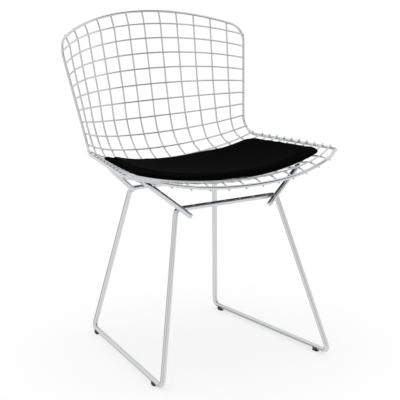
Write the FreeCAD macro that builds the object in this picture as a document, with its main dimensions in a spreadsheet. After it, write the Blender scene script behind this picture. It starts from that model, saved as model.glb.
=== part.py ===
import FreeCAD, Part
import math
import os
import Sketcher
from FreeCAD import Placement, Rotation, Vector

# Wire mesh chair: a welded basket of crossing wires between rims, carried on bent support rods
# by a rod base with glides, and a thin seat pad lying in the dish.
# Millimetres. Z is up and Y points to the rear, so X is to the right of someone who stands in
# front of the chair and looks at it. The origin is on the floor, under the middle of the chair's
# depth and width.

doc = FreeCAD.newDocument("wire_mesh_chair")
sheet = doc.addObject("Spreadsheet::Sheet", "Sizes")

SIZES = [
    # Basket, side view at the middle of the chair
    ("basket_depth", 557.3, "front rim to top rim at the middle, between centrelines"),
    ("back_height", 759.0, "top rim's middle above the floor"),
    ("seat_height", 477.3, "side rim above the floor at the front corner"),
    ("flare_back", 12.2, "how far the top rim leans out behind the back's line"),
    ("flare_drop", 27.8, "height of that flare"),
    ("flare_radius", 180.0, "bend between flare and back"),
    ("waist_fore", 88.0, "corner of back and seat lines ahead of the top rim"),
    ("waist_drop", 52.9, "the same corner below the seat height"),
    ("waist_radius", 120.0, "bend between back and seat at the middle"),
    ("dip_back", 210.0, "lowest corner of the seat line behind the front rim"),
    ("dip_drop", 68.3, "the same corner below the seat height"),
    ("dip_radius", 1100.0, "bend of the seat's dish, front to back"),
    ("nose_back", 18.2, "corner where the seat rolls over, behind the front rim"),
    ("nose_drop", 21.0, "the same corner below the seat height"),
    ("nose_radius", 25.0, "bend of that roll"),
    ("front_drop", 31.3, "front rim's middle below the seat height"),
    # Basket, side rim from the top corner to the front corner
    ("shoulder_half", 249.0, "half width at the top corner"),
    ("shoulder_fore", 102.2, "top corner ahead of the top rim's middle"),
    ("shoulder_drop", 45.0, "top corner below the top rim's middle"),
    ("shoulder_reach", 34.0, "length of rim taken up by the rounding of that corner"),
    ("waist_half", 214.1, "half width at the upper bend of the waist"),
    ("waist_rim_fore", 161.8, "upper bend ahead of the top rim's middle"),
    ("waist_rim_rise", 11.7, "upper bend above the seat height"),
    ("hip_half", 220.9, "half width at the lower bend of the waist"),
    ("hip_fore", 188.2, "lower bend ahead of the top rim's middle"),
    ("hip_drop", 11.2, "lower bend below the seat height"),
    ("waist_rim_radius", 50.0, "upper bend of the side rim"),
    ("hip_rim_radius", 42.0, "lower bend of the side rim"),
    ("corner_half", 274.3, "half width at the front corner"),
    ("corner_back", 86.6, "front corner behind the front rim's middle"),
    # Front rim between the corner and the middle
    ("brow_half", 150.0, "half width of the front rim's inner point"),
    ("brow_back", 21.4, "that point behind the front rim's middle"),
    ("brow_rise", 8.4, "that point above the front rim's middle"),
    ("cheek_half", 250.0, "half width of the front rim's outer point"),
    ("cheek_back", 63.8, "that point behind the front rim's middle"),
    ("cheek_rise", 28.7, "that point above the front rim's middle"),
    # Mesh
    ("back_rows", 10, "cross wires in the back, down to the waist"),
    ("seat_rows", 10, "cross wires in the seat"),
    ("half_columns", 6, "lengthwise wires on each side of the middle"),
    ("first_row_drop", 32.0, "first cross wire below the top rim, along the middle"),
    ("first_row_rim", 17.0, "the same along the side rim, from the top corner"),
    ("waist_row_past", 38.8, "last back row past the corner of back and seat"),
    ("waist_row_gap", 34.5, "side rim between the last back row and the first seat row"),
    ("last_row_back", 32.0, "last cross wire behind the front rim, along the middle"),
    ("last_row_rim", 17.4, "the same along the side rim, from the front corner"),
    ("pitch_growth", 1.0, "growth of the rows' spacing down the middle of the back"),
    ("row_flatness", 1.15, "radius of a row's middle arc, over that of one plain arc"),
    ("top_flatness", 1.0, "the same at the top rim"),
    ("flatness_rows", 4, "rows over which the first becomes the second"),
    ("row_join", 0.6, "share of the half width where a row's middle arc ends"),
    ("mesh_wire_dia", 4.0, "cross wires and lengthwise wires"),
    ("back_rim_dia", 6.0, "rim round the back"),
    ("seat_rim_dia", 8.0, "rim round the seat"),
    ("weld_gap", 0.1, "left between round rods where they touch"),
    ("front_overhang", 5.0, "lengthwise wires past the front rim's centreline"),
    ("top_overhang", 3.5, "lengthwise wires past the top rim's centreline"),
    ("side_overhang", 4.5, "cross wires past the side rim's centreline"),
    ("rim_joint_above", 13.0, "joint of the two rims above the last back row"),
    # Base
    ("frame_rod_dia", 12.0, "base rods and support rods"),
    ("elbow_radius", 14.0, "bends of the base rods"),
    ("front_foot_half", 222.0, "half width at the front bottom corner"),
    ("front_foot_back", 24.0, "front bottom corner behind the front rim's middle"),
    ("rear_foot_half", 172.3, "half width at the rear bottom corner"),
    ("runner_length", 435.5, "front bottom corner to rear bottom corner, in Y"),
    ("front_bar_half", 132.0, "half width at the front top corner"),
    ("front_bar_back", 96.5, "front crossbar behind the front bottom corner"),
    ("front_bar_drop", 97.6, "front crossbar below the front corner of the side rim"),
    ("rear_bar_half", 115.4, "half width at the rear top corner"),
    ("rear_bar_fore", 91.6, "rear crossbar ahead of the rear bottom corner"),
    ("rear_bar_drop", 105.5, "rear crossbar below the front corner of the side rim"),
    # Support rods
    ("strut_foot_half", 102.0, "free end of the front strut from the middle"),
    ("strut_foot_drop", 114.3, "that end below the front corner of the side rim"),
    ("strut_lean", 4.5, "that end ahead of where the strut crosses the bar"),
    ("strut_top_half", 205.0, "half width where the front strut meets the seat"),
    ("strut_top_back", 17.0, "that place behind the strut's crossing with the bar"),
    ("tail_foot_half", 113.0, "free end of the rear strut from the middle"),
    ("tail_foot_drop", 108.3, "that end below the front corner of the side rim"),
    ("tail_top_half", 184.0, "half width where the rear strut meets the seat"),
    ("strut_radius", 26.0, "bends of the support rods"),
    # Glides
    ("glide_base", 3.0, "glide under the runner"),
    ("glide_length", 15.0, "along the runner"),
    ("glide_width", 14.0, "across the runner"),
    ("glide_height", 8.0, "floor to the glide's upper edges"),
    ("glide_round", 2.5, "rounding of the glide's upright edges"),
    ("glide_clearance", 0.3, "between rod and glide"),
    ("front_glide_back", 43.0, "front glides behind the front bottom corner"),
    ("rear_glide_fore", 27.0, "rear glides ahead of the rear bottom corner"),
    # Seat pad
    ("pad_thickness", 17.0, "at the edge of the pad, before its edges are bevelled"),
    ("pad_crown", 6.0, "added at the middle"),
    ("pad_clearance", 0.3, "above the cross wires"),
    ("pad_front_back", 46.0, "front edge behind the front rim, at the middle"),
    ("pad_front_bow", 46.0, "front corners behind the front edge's middle"),
    ("pad_front_half", 246.0, "half width at the front corners"),
    ("pad_rear_fore", 162.0, "rear edge's middle ahead of the top rim's middle"),
    ("pad_rear_bow", 48.0, "rear corners ahead of the rear edge's middle"),
    ("pad_rear_half", 203.0, "half width at the rear corners"),
    ("pad_corner_radius", 42.0, "corners seen from above"),
    ("pad_top_bevel", 7.0, "upper edge"),
    ("pad_under_bevel", 5.0, "lower edge"),
]

WIRE_SIDES = 8
ROD_SIDES = 12
FACET_TURN = 14.0
PAD_SECTIONS = 5


def fill_sheet():
    """Writes every driving dimension to the sheet with its name and its meaning."""
    for number, (name, value, meaning) in enumerate(SIZES, start=1):
        sheet.set("A%d" % number, name)
        sheet.set("B%d" % number, repr(value))
        sheet.set("C%d" % number, meaning)
        sheet.setAlias("B%d" % number, name)
    doc.recompute()


def size(name):
    return float(sheet.get(name))


fill_sheet()


class Straight:
    """A straight run from one point to another."""

    def __init__(self, start, end):
        self.start = start
        self.heading = (end - start).normalize()
        self.length = (end - start).Length

    def point(self, along):
        return self.start + self.heading * along

    def tangent(self, along):
        return self.heading

    def edge(self, begin, end):
        return Part.LineSegment(self.point(begin), self.point(end)).toShape()


class Bend:
    """A round run: it leaves a point along a direction and ends at another point."""

    def __init__(self, start, heading, end):
        chord = end - start
        side = chord - heading * chord.dot(heading)
        self.radius = chord.dot(chord) / (2 * side.Length)
        self.inward = side.normalize()
        self.centre = start + self.inward * self.radius
        self.heading = heading
        turn = 2 * math.atan2(chord.dot(self.inward), chord.dot(heading))
        self.length = self.radius * turn

    def point(self, along):
        turn = along / self.radius
        out = self.inward * -math.cos(turn) + self.heading * math.sin(turn)
        return self.centre + out * self.radius

    def tangent(self, along):
        turn = along / self.radius
        return self.heading * math.cos(turn) + self.inward * math.sin(turn)

    def edge(self, begin, end):
        middle = (begin + end) / 2
        return Part.Arc(self.point(begin), self.point(middle), self.point(end)).toShape()


NEARLY_STRAIGHT = 5e-4


def run_to(start, heading, end):
    """The run that leaves start along heading and reaches end, straight if it hardly bends."""
    chord = end - start
    side = chord - heading * chord.dot(heading)
    if side.Length < NEARLY_STRAIGHT * chord.Length:
        return Straight(start, end)
    return Bend(start, heading, end)


class Route:
    """Runs that follow one another without a kink, measured by the length along them."""

    def __init__(self, runs):
        self.runs = runs
        self.length = sum(run.length for run in runs)

    def locate(self, along):
        for run in self.runs[:-1]:
            if along <= run.length:
                return run, along
            along -= run.length
        return self.runs[-1], along

    def point(self, along):
        run, rest = self.locate(along)
        return run.point(rest)

    def tangent(self, along):
        run, rest = self.locate(along)
        return run.tangent(rest)

    def edges(self, begin, end):
        shortest = 1e-3
        found = []
        reached = 0.0
        for run in self.runs:
            low = max(begin - reached, 0.0)
            high = min(end - reached, run.length)
            if high - low > shortest:
                found.append(run.edge(low, high))
            reached += run.length
        return found


def rounded(points, radii):
    """A route along straight lines whose corners are rounded to the given radii."""
    runs = []
    start = points[0]
    for before, corner, after, radius in zip(points, points[1:], points[2:], radii):
        back = (before - corner).normalize()
        ahead = (after - corner).normalize()
        reach = radius / math.tan(back.getAngle(ahead) / 2)
        entry = corner + back * reach
        runs.append(Straight(start, entry))
        start = corner + ahead * reach
        runs.append(Bend(entry, back * -1, start))
    runs.append(Straight(start, points[-1]))
    return Route(runs)


def two_arcs(start, heading, end, final):
    """Two equal-armed tangent arcs from start along heading to end along final."""
    chord = end - start
    spread = 1 - heading.dot(final)
    lead = chord.dot(heading + final)
    if spread < 1e-9:
        arm = chord.dot(chord) / (2 * lead)
    else:
        arm = (math.sqrt(lead**2 + 2 * spread * chord.dot(chord)) - lead) / (2 * spread)
    middle = (start + end + (heading - final) * arm) * 0.5
    first = run_to(start, heading, middle)
    turned = first.tangent(first.length)
    return [first, run_to(middle, turned, end)]


def circle_heading(before, here, after):
    """Direction at the middle one of three points, along the circle through them."""
    one = here - before
    two = after - here
    blend = one * (two.Length / one.Length) + two * (one.Length / two.Length)
    return blend.normalize()


def through(points, heading, final):
    """A route of tangent arcs through the points, two arcs from each point to the next."""
    inner = [circle_heading(*three) for three in zip(points, points[1:], points[2:])]
    headings = [heading] + inner + [final]
    runs = []
    for number in range(len(points) - 1):
        runs += two_arcs(points[number], headings[number], points[number + 1], headings[number + 1])
    return Route(runs)


def mirrored(point):
    return Vector(-point.x, point.y, point.z)


def both_sides(half):
    """The whole route of a rod whose right half starts at the middle of the chair."""
    left = []
    for run in reversed(half.runs):
        start = mirrored(run.point(run.length))
        heading = run.tangent(run.length)
        heading = Vector(heading.x, -heading.y, -heading.z)
        left.append(run_to(start, heading, mirrored(run.point(0))))
    return Route(left + half.runs)


def ring(centre, heading, diameter, sides, towards=Vector(0, 0, 1)):
    """A rod's section: a regular polygon with its corners on the rod's outer circle."""
    across = heading.cross(towards).normalize()
    up = across.cross(heading)
    corners = []
    for number in range(sides + 1):
        turn = 2 * math.pi * (number + 0.5) / sides
        corners.append(centre + (across * math.cos(turn) + up * math.sin(turn)) * (diameter / 2))
    return Part.makePolygon(corners)


def rod(route, diameter):
    """A bar of one section along a route."""
    spine = Part.Wire(route.edges(0, route.length))
    section = ring(route.point(0), route.tangent(0), diameter, ROD_SIDES)
    return spine.makePipeShell([section], True, False)


parts = []


def add_shape(name, shape):
    """A sub-part whose shape is worked out from the sizes."""
    feature = doc.addObject("Part::Feature", name)
    feature.Label = name
    feature.Shape = shape
    parts.append(feature)
    return feature


# The two guide curves of the basket: the middle of the seat and back, and the side rim.

TOP_Y = size("basket_depth") / 2
FRONT_Y = -size("basket_depth") / 2
SEAT_Z = size("seat_height")
BACK_Z = size("back_height")
RIGHT = Vector(1, 0, 0)
UP = Vector(0, 0, 1)
SITTER = Vector(0, -40, SEAT_Z + 170)


def middle_guide():
    """Middle line of the basket: flare, back, waist, dish and the roll over the front edge."""
    top = Vector(0, TOP_Y, BACK_Z)
    flare = top - Vector(0, size("flare_back"), size("flare_drop"))
    waist = Vector(0, TOP_Y - size("waist_fore"), SEAT_Z - size("waist_drop"))
    dip = Vector(0, FRONT_Y + size("dip_back"), SEAT_Z - size("dip_drop"))
    nose = Vector(0, FRONT_Y + size("nose_back"), SEAT_Z - size("nose_drop"))
    front = Vector(0, FRONT_Y, SEAT_Z - size("front_drop"))
    radii = [size("flare_radius"), size("waist_radius"), size("dip_radius"), size("nose_radius")]
    bend_at = (top - flare).Length + (flare - waist).Length
    return rounded([top, flare, waist, dip, nose, front], radii), bend_at


def side_guide():
    """Centreline of the right-hand side rim, from the top corner to the front corner."""
    shoulder_y = TOP_Y - size("shoulder_fore")
    shoulder = Vector(size("shoulder_half"), shoulder_y, BACK_Z - size("shoulder_drop"))
    waist_y = TOP_Y - size("waist_rim_fore")
    waist = Vector(size("waist_half"), waist_y, SEAT_Z + size("waist_rim_rise"))
    hip = Vector(size("hip_half"), TOP_Y - size("hip_fore"), SEAT_Z - size("hip_drop"))
    corner = Vector(size("corner_half"), FRONT_Y + size("corner_back"), SEAT_Z)
    radii = [size("waist_rim_radius"), size("hip_rim_radius")]
    return rounded([shoulder, waist, hip, corner], radii), (shoulder - waist).Length


middle, middle_bend = middle_guide()
side, side_bend = side_guide()


def row_stations():
    """Distance of each cross wire along the middle guide and along the side rim.

    The back's rows run from the top rim to just past the waist, a little further apart at the
    middle with each row, and the seat's rows share the rest evenly.
    """
    back_rows = int(size("back_rows"))
    seat_rows = int(size("seat_rows"))
    steps = back_rows - 1
    growth = size("pitch_growth")
    first = size("first_row_drop")
    last = middle_bend + size("waist_row_past")
    pitch = (last - first - growth * steps * (steps - 1) / 2) / steps
    along_middle = [first + pitch * k + growth * k * (k - 1) / 2 for k in range(back_rows)]
    seat_pitch = (middle.length - size("last_row_back") - last) / seat_rows
    along_middle += [last + seat_pitch * (k + 1) for k in range(seat_rows)]

    rim_first = size("first_row_rim")
    rim_last = side_bend + size("waist_row_past")
    rim_pitch = (rim_last - rim_first) / steps
    along_side = [rim_first + rim_pitch * k for k in range(back_rows)]
    seat_first = rim_last + size("waist_row_gap")
    seat_pitch = (side.length - size("last_row_rim") - seat_first) / (seat_rows - 1)
    along_side += [seat_first + seat_pitch * k for k in range(seat_rows)]
    return list(zip(along_middle, along_side))


class Row:
    """Half of a cross wire's centreline: a middle arc, then a tighter tangent arc out to the rim.

    It lies in the plane through the row's middle point, its end point and the X direction. The
    depth of its sag and its half width fix both radii.
    """

    def __init__(self, centre, end, flatness):
        self.centre = centre
        self.half = end.x
        rise = Vector(0, end.y - centre.y, end.z - centre.z)
        self.depth = rise.Length
        self.upward = rise.normalize()
        plain = (self.half**2 + self.depth**2) / (2 * self.depth)
        self.middle_radius = flatness * plain
        self.join = math.asin(size("row_join") * self.half / self.middle_radius)
        join_x = self.middle_radius * math.sin(self.join)
        join_up = self.middle_radius * (1 - math.cos(self.join))
        out = self.half - join_x
        up = self.depth - join_up
        lever = up * math.cos(self.join) - out * math.sin(self.join)
        self.wing_radius = (out**2 + up**2) / (2 * lever)
        self.wing_x = join_x - self.wing_radius * math.sin(self.join)
        self.wing_up = join_up + self.wing_radius * math.cos(self.join)
        self.final = math.atan2(self.half - self.wing_x, self.wing_up - self.depth)
        joint = self.at(join_x, join_up)
        first = run_to(centre, RIGHT, joint)
        self.route = Route([first, run_to(joint, first.tangent(first.length), end)])

    def at(self, x, up):
        return self.centre + RIGHT * x + self.upward * up

    def share(self, part):
        """Point at a share of the half row's length, mirrored if the share is negative."""
        point = self.route.point(abs(part) * self.route.length)
        return mirrored(point) if part < 0 else point

    def height_at(self, x):
        """Y and Z of the row's centreline at a distance from the middle."""
        x = min(abs(x), self.half)
        if x <= self.middle_radius * math.sin(self.join):
            up = self.middle_radius - math.sqrt(self.middle_radius**2 - x**2)
        else:
            up = self.wing_up - math.sqrt(self.wing_radius**2 - (x - self.wing_x) ** 2)
        point = self.at(x, up)
        return point.y, point.z


def towards_sitter(point, one, two):
    """Unit direction square to two directions, on the sitter's side of a point."""
    normal = one.cross(two).normalize()
    return normal if normal.dot(SITTER - point) > 0 else normal * -1


def rim_diameter(number):
    return size("back_rim_dia") if number < int(size("back_rows")) else size("seat_rim_dia")


def flatness(number):
    blend = min(number / size("flatness_rows"), 1.0)
    return size("top_flatness") + (size("row_flatness") - size("top_flatness")) * blend


def all_rows():
    """The top rim's row, the cross wires' rows and the front rim's row, from top to front.

    A cross wire laps over the side rim on the sitter's side, so its end is set off from the rim's
    centreline by both half diameters.
    """
    rows = [Row(middle.point(0), side.point(0), flatness(0))]
    for number, (on_middle, on_side) in enumerate(row_stations(), start=1):
        centre = middle.point(on_middle)
        rim_point = side.point(on_side)
        off = (rim_diameter(number) + size("mesh_wire_dia")) / 2 + size("weld_gap")
        row = Row(centre, rim_point, flatness(number))
        for again in range(2):
            heading = row.route.tangent(row.route.length)
            normal = towards_sitter(rim_point, heading, side.tangent(on_side))
            row = Row(centre, rim_point + normal * off, flatness(number))
        rows.append(row)
    rows.append(Row(middle.point(middle.length), side.point(side.length), flatness(number)))
    return rows


rows = all_rows()
LAST_ROW = len(rows) - 2


# Rims


def front_rim_half():
    """Front rim from its middle to the front corner, then back along the side to the joint."""
    centre = middle.point(middle.length)
    brow = centre + Vector(size("brow_half"), size("brow_back"), size("brow_rise"))
    cheek = centre + Vector(size("cheek_half"), size("cheek_back"), size("cheek_rise"))
    backwards = side.tangent(side.length) * -1
    corner = side.point(side.length) + backwards * size("last_row_rim") * 0.5
    front = through([centre, brow, cheek, corner], RIGHT, backwards)
    joint = side_bend + size("waist_row_past") - size("rim_joint_above")
    reverse = []
    reached = side.length - size("last_row_rim") * 0.5
    for run in reversed(side.runs):
        begin = side.length - sum(r.length for r in side.runs[side.runs.index(run):])
        if reached - begin > 0 and reached > joint:
            low = max(begin, joint)
            reverse.append(run_to(side.point(reached), side.tangent(reached) * -1, side.point(low)))
            reached = low
    return Route(front.runs + reverse)


def back_rim_half():
    """Top rim from its middle to the rounded top corner, then down the side to the joint."""
    top = rows[0].route
    reach = size("shoulder_reach")
    leave = top.length - reach
    across = []
    reached = 0.0
    for run in top.runs:
        end = min(run.length, leave - reached)
        if end > 0:
            across.append(run_to(run.point(0), run.tangent(0), run.point(end)))
        reached += run.length
    corner = two_arcs(top.point(leave), top.tangent(leave), side.point(reach), side.tangent(reach))
    joint = side_bend + size("waist_row_past") - size("rim_joint_above")
    down = []
    reached = 0.0
    for run in side.runs:
        low = max(reach - reached, 0.0)
        high = min(joint - reached, run.length)
        if high > low:
            down.append(run_to(run.point(low), run.tangent(low), run.point(high)))
        reached += run.length
    return Route(across + corner + down)


front_rim = front_rim_half()
add_shape("back_rim", rod(both_sides(back_rim_half()), size("back_rim_dia")))
add_shape("seat_rim", rod(both_sides(front_rim), size("seat_rim_dia")))


# Cross wires


def origin_plane(body, role):
    return [feature for feature in body.Origin.OriginFeatures if feature.Role == role][0]


def sketch_on(body, role, name):
    sketch = body.newObject("Sketcher::SketchObject", name)
    sketch.AttachmentSupport = [(origin_plane(body, role), "")]
    sketch.MapMode = "FlatFace"
    return sketch


def draw_section(sketch, diameter, alias):
    """A regular polygon on a construction circle whose diameter is one of the sizes."""
    centre = Vector(0, 0, 0)
    circle = sketch.addGeometry(Part.Circle(centre, UP, diameter / 2), True)
    sketch.addConstraint(Sketcher.Constraint("Coincident", circle, 3, -1, 1))
    across = sketch.addConstraint(Sketcher.Constraint("Diameter", circle, diameter))
    corners = []
    for number in range(WIRE_SIDES):
        turn = 2 * math.pi * (number - 0.5) / WIRE_SIDES
        corners.append(Vector(math.cos(turn), math.sin(turn), 0) * (diameter / 2))
    sides = [
        sketch.addGeometry(Part.LineSegment(corners[n], corners[(n + 1) % WIRE_SIDES]))
        for n in range(WIRE_SIDES)
    ]
    for number, line in enumerate(sides):
        following = sides[(number + 1) % WIRE_SIDES]
        sketch.addConstraint(Sketcher.Constraint("Coincident", line, 2, following, 1))
        sketch.addConstraint(Sketcher.Constraint("PointOnObject", line, 1, circle))
        if number:
            sketch.addConstraint(Sketcher.Constraint("Equal", sides[0], line))
    sketch.addConstraint(Sketcher.Constraint("Vertical", sides[0]))
    sketch.setExpression("Constraints[%d]" % across, "Sizes." + alias)


def draw_row(sketch, row):
    """Middle arc, wing arc and straight end of half a row, starting at the sketch's origin."""
    start = -math.pi / 2
    overhang = size("side_overhang")
    normal = Vector(0, 0, 1)
    middle_circle = Part.Circle(Vector(0, row.middle_radius, 0), normal, row.middle_radius)
    wing_circle = Part.Circle(Vector(row.wing_x, row.wing_up, 0), normal, row.wing_radius)
    rim_end = Vector(row.half, row.depth, 0)
    cut_end = rim_end + Vector(math.cos(row.final), math.sin(row.final), 0) * overhang
    arc = sketch.addGeometry(Part.ArcOfCircle(middle_circle, start, start + row.join))
    wing = sketch.addGeometry(Part.ArcOfCircle(wing_circle, start + row.join, start + row.final))
    tip = sketch.addGeometry(Part.LineSegment(rim_end, cut_end))
    sketch.addConstraint(Sketcher.Constraint("Coincident", arc, 1, -1, 1))
    sketch.addConstraint(Sketcher.Constraint("PointOnObject", arc, 3, -2))
    sketch.addConstraint(Sketcher.Constraint("Radius", arc, row.middle_radius))
    sketch.addConstraint(Sketcher.Constraint("Tangent", arc, 2, wing, 1))
    sketch.addConstraint(Sketcher.Constraint("Radius", wing, row.wing_radius))
    sketch.addConstraint(Sketcher.Constraint("DistanceX", -1, 1, wing, 2, row.half))
    sketch.addConstraint(Sketcher.Constraint("DistanceY", -1, 1, wing, 2, row.depth))
    sketch.addConstraint(Sketcher.Constraint("Tangent", wing, 2, tip, 1))
    past = sketch.addConstraint(Sketcher.Constraint("Distance", tip, overhang))
    sketch.setExpression("Constraints[%d]" % past, "Sizes.side_overhang")


def cross_wire(number, row):
    """One cross wire: its section swept along half the row and mirrored to the other side."""
    name = "cross_wire_%02d" % number
    body = doc.addObject("PartDesign::Body", name)
    body.Label = name
    path = sketch_on(body, "XY_Plane", name + "_path")
    draw_row(path, row)
    section = sketch_on(body, "YZ_Plane", name + "_section")
    draw_section(section, size("mesh_wire_dia"), "mesh_wire_dia")
    doc.recompute()
    pipe = body.newObject("PartDesign::AdditivePipe", name + "_pipe")
    pipe.Profile = section
    pipe.Spine = (path, ["Edge1", "Edge2", "Edge3"])
    doc.recompute()
    mirror = body.newObject("PartDesign::Mirrored", name + "_mirror")
    mirror.Originals = [pipe]
    mirror.MirrorPlane = (origin_plane(body, "YZ_Plane"), [""])
    body.Tip = mirror
    lean = math.degrees(math.atan2(row.upward.z, row.upward.y))
    body.Placement = Placement(row.centre, Rotation(RIGHT, lean))
    parts.append(body)


for number in range(1, LAST_ROW + 1):
    cross_wire(number, rows[number])


# Lengthwise wires


def ramp(number, *knots):
    """Value at a row, on straight lines between the given (row, value) pairs."""
    for (low, before), (high, after) in zip(knots, knots[1:]):
        if number <= high:
            return before + (after - before) * (number - low) / (high - low)
    return knots[-1][1]


def wire_share(column, number):
    """Share of the half row at which a lengthwise wire crosses it.

    The wires lie at even shares, drawn a little outwards at the waist, and the outermost gap is
    a little wider at the two ends.
    """
    count = size("half_columns")
    waist = size("back_rows")
    middle_back = waist / 2
    front = LAST_ROW + 1
    spare = ramp(number, (0, 0.6), (middle_back, 0.5), (waist, 0.5), (front, 0.9))
    swell = ramp(number, (0, 0.03), (middle_back, 0.03), (waist, 0.11), (front, 0.0))
    even = (column - 0.5) / (count + spare)
    return even * (1 + swell * (1 - even**2))


def under_offset(number):
    """Distance of a lengthwise wire's centreline behind the row's centreline."""
    other = size("mesh_wire_dia")
    if number == 0:
        other = size("back_rim_dia")
    if number > LAST_ROW:
        other = size("seat_rim_dia")
    return (size("mesh_wire_dia") + other) / 2 + size("weld_gap")


def lengthwise_route(column):
    """Centreline of a lengthwise wire, behind the cross wires and under the front rim."""
    crossings = [row.share(wire_share(column, number)) for number, row in enumerate(rows)]
    front = front_rim.point(wire_share(column, LAST_ROW + 1) * rows[-1].route.length)
    crossings[-1] = front
    points = []
    for number, here in enumerate(crossings):
        before = crossings[max(number - 1, 0)]
        after = crossings[min(number + 1, LAST_ROW + 1)]
        row = rows[number]
        across = row.route.tangent(wire_share(column, number) * row.route.length)
        if number > LAST_ROW:
            across = front_rim.tangent(wire_share(column, number) * rows[-1].route.length)
        normal = towards_sitter(here, across, after - before)
        points.append(here - normal * under_offset(number))
    start = circle_heading(points[0] * 2 - points[1], points[0], points[1])
    last = (points[-1] - points[-2]).normalize()
    turned = circle_heading(points[-3], points[-2], points[-1])
    final = last * (2 * last.dot(turned)) - turned
    top_end = points[0] - start * size("top_overhang")
    front_end = points[-1] + final * size("front_overhang")
    return through([top_end] + points + [front_end], start, final)


def crossing_stations(route):
    """Points along a lengthwise wire: one at each crossing, and more where it turns sharply."""
    points = [route.point(0)]
    pairs = zip(route.runs[0::2], route.runs[1::2])
    for pair in pairs:
        both = Route(list(pair))
        turn = math.degrees(both.tangent(0).getAngle(both.tangent(both.length)))
        steps = max(1, math.ceil(turn / FACET_TURN))
        points += [both.point(both.length * (step + 1) / steps) for step in range(steps)]
    return points


def mitred(points, diameter, sides):
    """A bar of polygonal section along straight runs, mitred where they meet.

    Each corner of the section is carried along its run to the plane that halves the next turn, so
    every side face is flat.
    """
    headings = [(after - before).normalize() for before, after in zip(points, points[1:])]
    ends = ring(points[0], headings[0], diameter, sides).Vertexes
    sections = [[vertex.Point for vertex in ends[:sides]]]
    for number, heading in enumerate(headings):
        following = headings[min(number + 1, len(headings) - 1)]
        normal = (heading + following).normalize()
        target = points[number + 1]
        carried = []
        for corner in sections[-1]:
            reach = (target - corner).dot(normal) / heading.dot(normal)
            carried.append(corner + heading * reach)
        sections.append(carried)
    faces = []
    for first, second in zip(sections, sections[1:]):
        for number in range(sides):
            beside = (number + 1) % sides
            corners = [first[number], first[beside], second[beside], second[number], first[number]]
            faces.append(Part.Face(Part.makePolygon(corners)))
    for section in (sections[0], sections[-1]):
        faces.append(Part.Face(Part.makePolygon(section + section[:1])))
    solid = Part.Solid(Part.Shell(faces))
    if solid.Volume < 0:
        solid.reverse()
    return solid


def lengthwise_wires():
    columns = int(size("half_columns"))
    for side_name, sign in (("left", -1), ("right", 1)):
        for column in range(1, columns + 1):
            points = crossing_stations(lengthwise_route(column))
            solid = mitred(points, size("mesh_wire_dia"), WIRE_SIDES)
            if sign < 0:
                solid = solid.mirror(Vector(0, 0, 0), RIGHT)
            add_shape("long_wire_%s_%d" % (side_name, column), solid)


lengthwise_wires()


# Base


ROD_RADIUS = size("frame_rod_dia") / 2
RUNNER_Z = size("glide_base") + ROD_RADIUS
FOOT_Y = FRONT_Y + size("front_foot_back")
REAR_FOOT_Y = FOOT_Y + size("runner_length")
FRONT_FOOT = Vector(size("front_foot_half"), FOOT_Y, RUNNER_Z)
REAR_FOOT = Vector(size("rear_foot_half"), REAR_FOOT_Y, RUNNER_Z)
FRONT_BAR_Y = FOOT_Y + size("front_bar_back")
REAR_BAR_Y = REAR_FOOT_Y - size("rear_bar_fore")
FRONT_ELBOW = Vector(size("front_bar_half"), FRONT_BAR_Y, SEAT_Z - size("front_bar_drop"))
REAR_ELBOW = Vector(size("rear_bar_half"), REAR_BAR_Y, SEAT_Z - size("rear_bar_drop"))
RUNNER_JOINT = (FRONT_FOOT + REAR_FOOT) * 0.5


def frame_rod(elbow, foot):
    """A base rod: half of each runner, both legs and the crossbar, bent from one length."""
    half = [RUNNER_JOINT, foot, elbow]
    points = [mirrored(point) for point in half] + half[::-1]
    return rod(rounded(points, [size("elbow_radius")] * 4), size("frame_rod_dia"))


add_shape("front_frame_rod", frame_rod(FRONT_ELBOW, FRONT_FOOT))
add_shape("rear_frame_rod", frame_rod(REAR_ELBOW, REAR_FOOT))


# Support rods


def seat_height_at(x, y):
    """Height of the cross wires' centreline surface at a place on the seat."""
    profile = [row.height_at(x) for row in rows[int(size("back_rows")) - 3:]]
    for (y_high, z_high), (y_low, z_low) in zip(profile, profile[1:]):
        if y >= y_low:
            return z_low + (z_high - z_low) * (y - y_low) / (y_high - y_low)
    return profile[-1][1]


def support_rod():
    """A support rod: up in front of the front bar, back under the seat, down by the rear bar.

    The run under the seat is set just below the cross wires, at the row where it comes nearest.
    """
    off = size("frame_rod_dia") + size("weld_gap")
    front_y = FRONT_BAR_Y - off
    rear_y = REAR_BAR_Y - off
    foot_z = SEAT_Z - size("strut_foot_drop")
    foot = Vector(size("strut_foot_half"), front_y - size("strut_lean"), foot_z)
    tail = Vector(size("tail_foot_half"), rear_y, SEAT_Z - size("tail_foot_drop"))
    top_y = front_y + size("strut_top_back")
    below = ROD_RADIUS + size("mesh_wire_dia") / 2 + size("weld_gap")
    top = Vector(size("strut_top_half"), top_y, 0)
    knee = Vector(size("tail_top_half"), rear_y, 0)
    steps = 24
    drops = []
    for step in range(steps + 1):
        share = step / steps
        place = top + (knee - top) * share
        drops.append((share, seat_height_at(place.x, place.y) - below * 1.06))
    rise = drops[0][1] - drops[-1][1]
    level = min(height + share * rise for share, height in drops)
    top.z = level
    knee.z = level - rise
    return rounded([foot, top, knee, tail], [size("strut_radius")] * 2)


def support_rods():
    solid = rod(support_rod(), size("frame_rod_dia"))
    add_shape("support_rod_right", solid)
    add_shape("support_rod_left", solid.mirror(Vector(0, 0, 0), RIGHT))


support_rods()


# Glides


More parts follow.
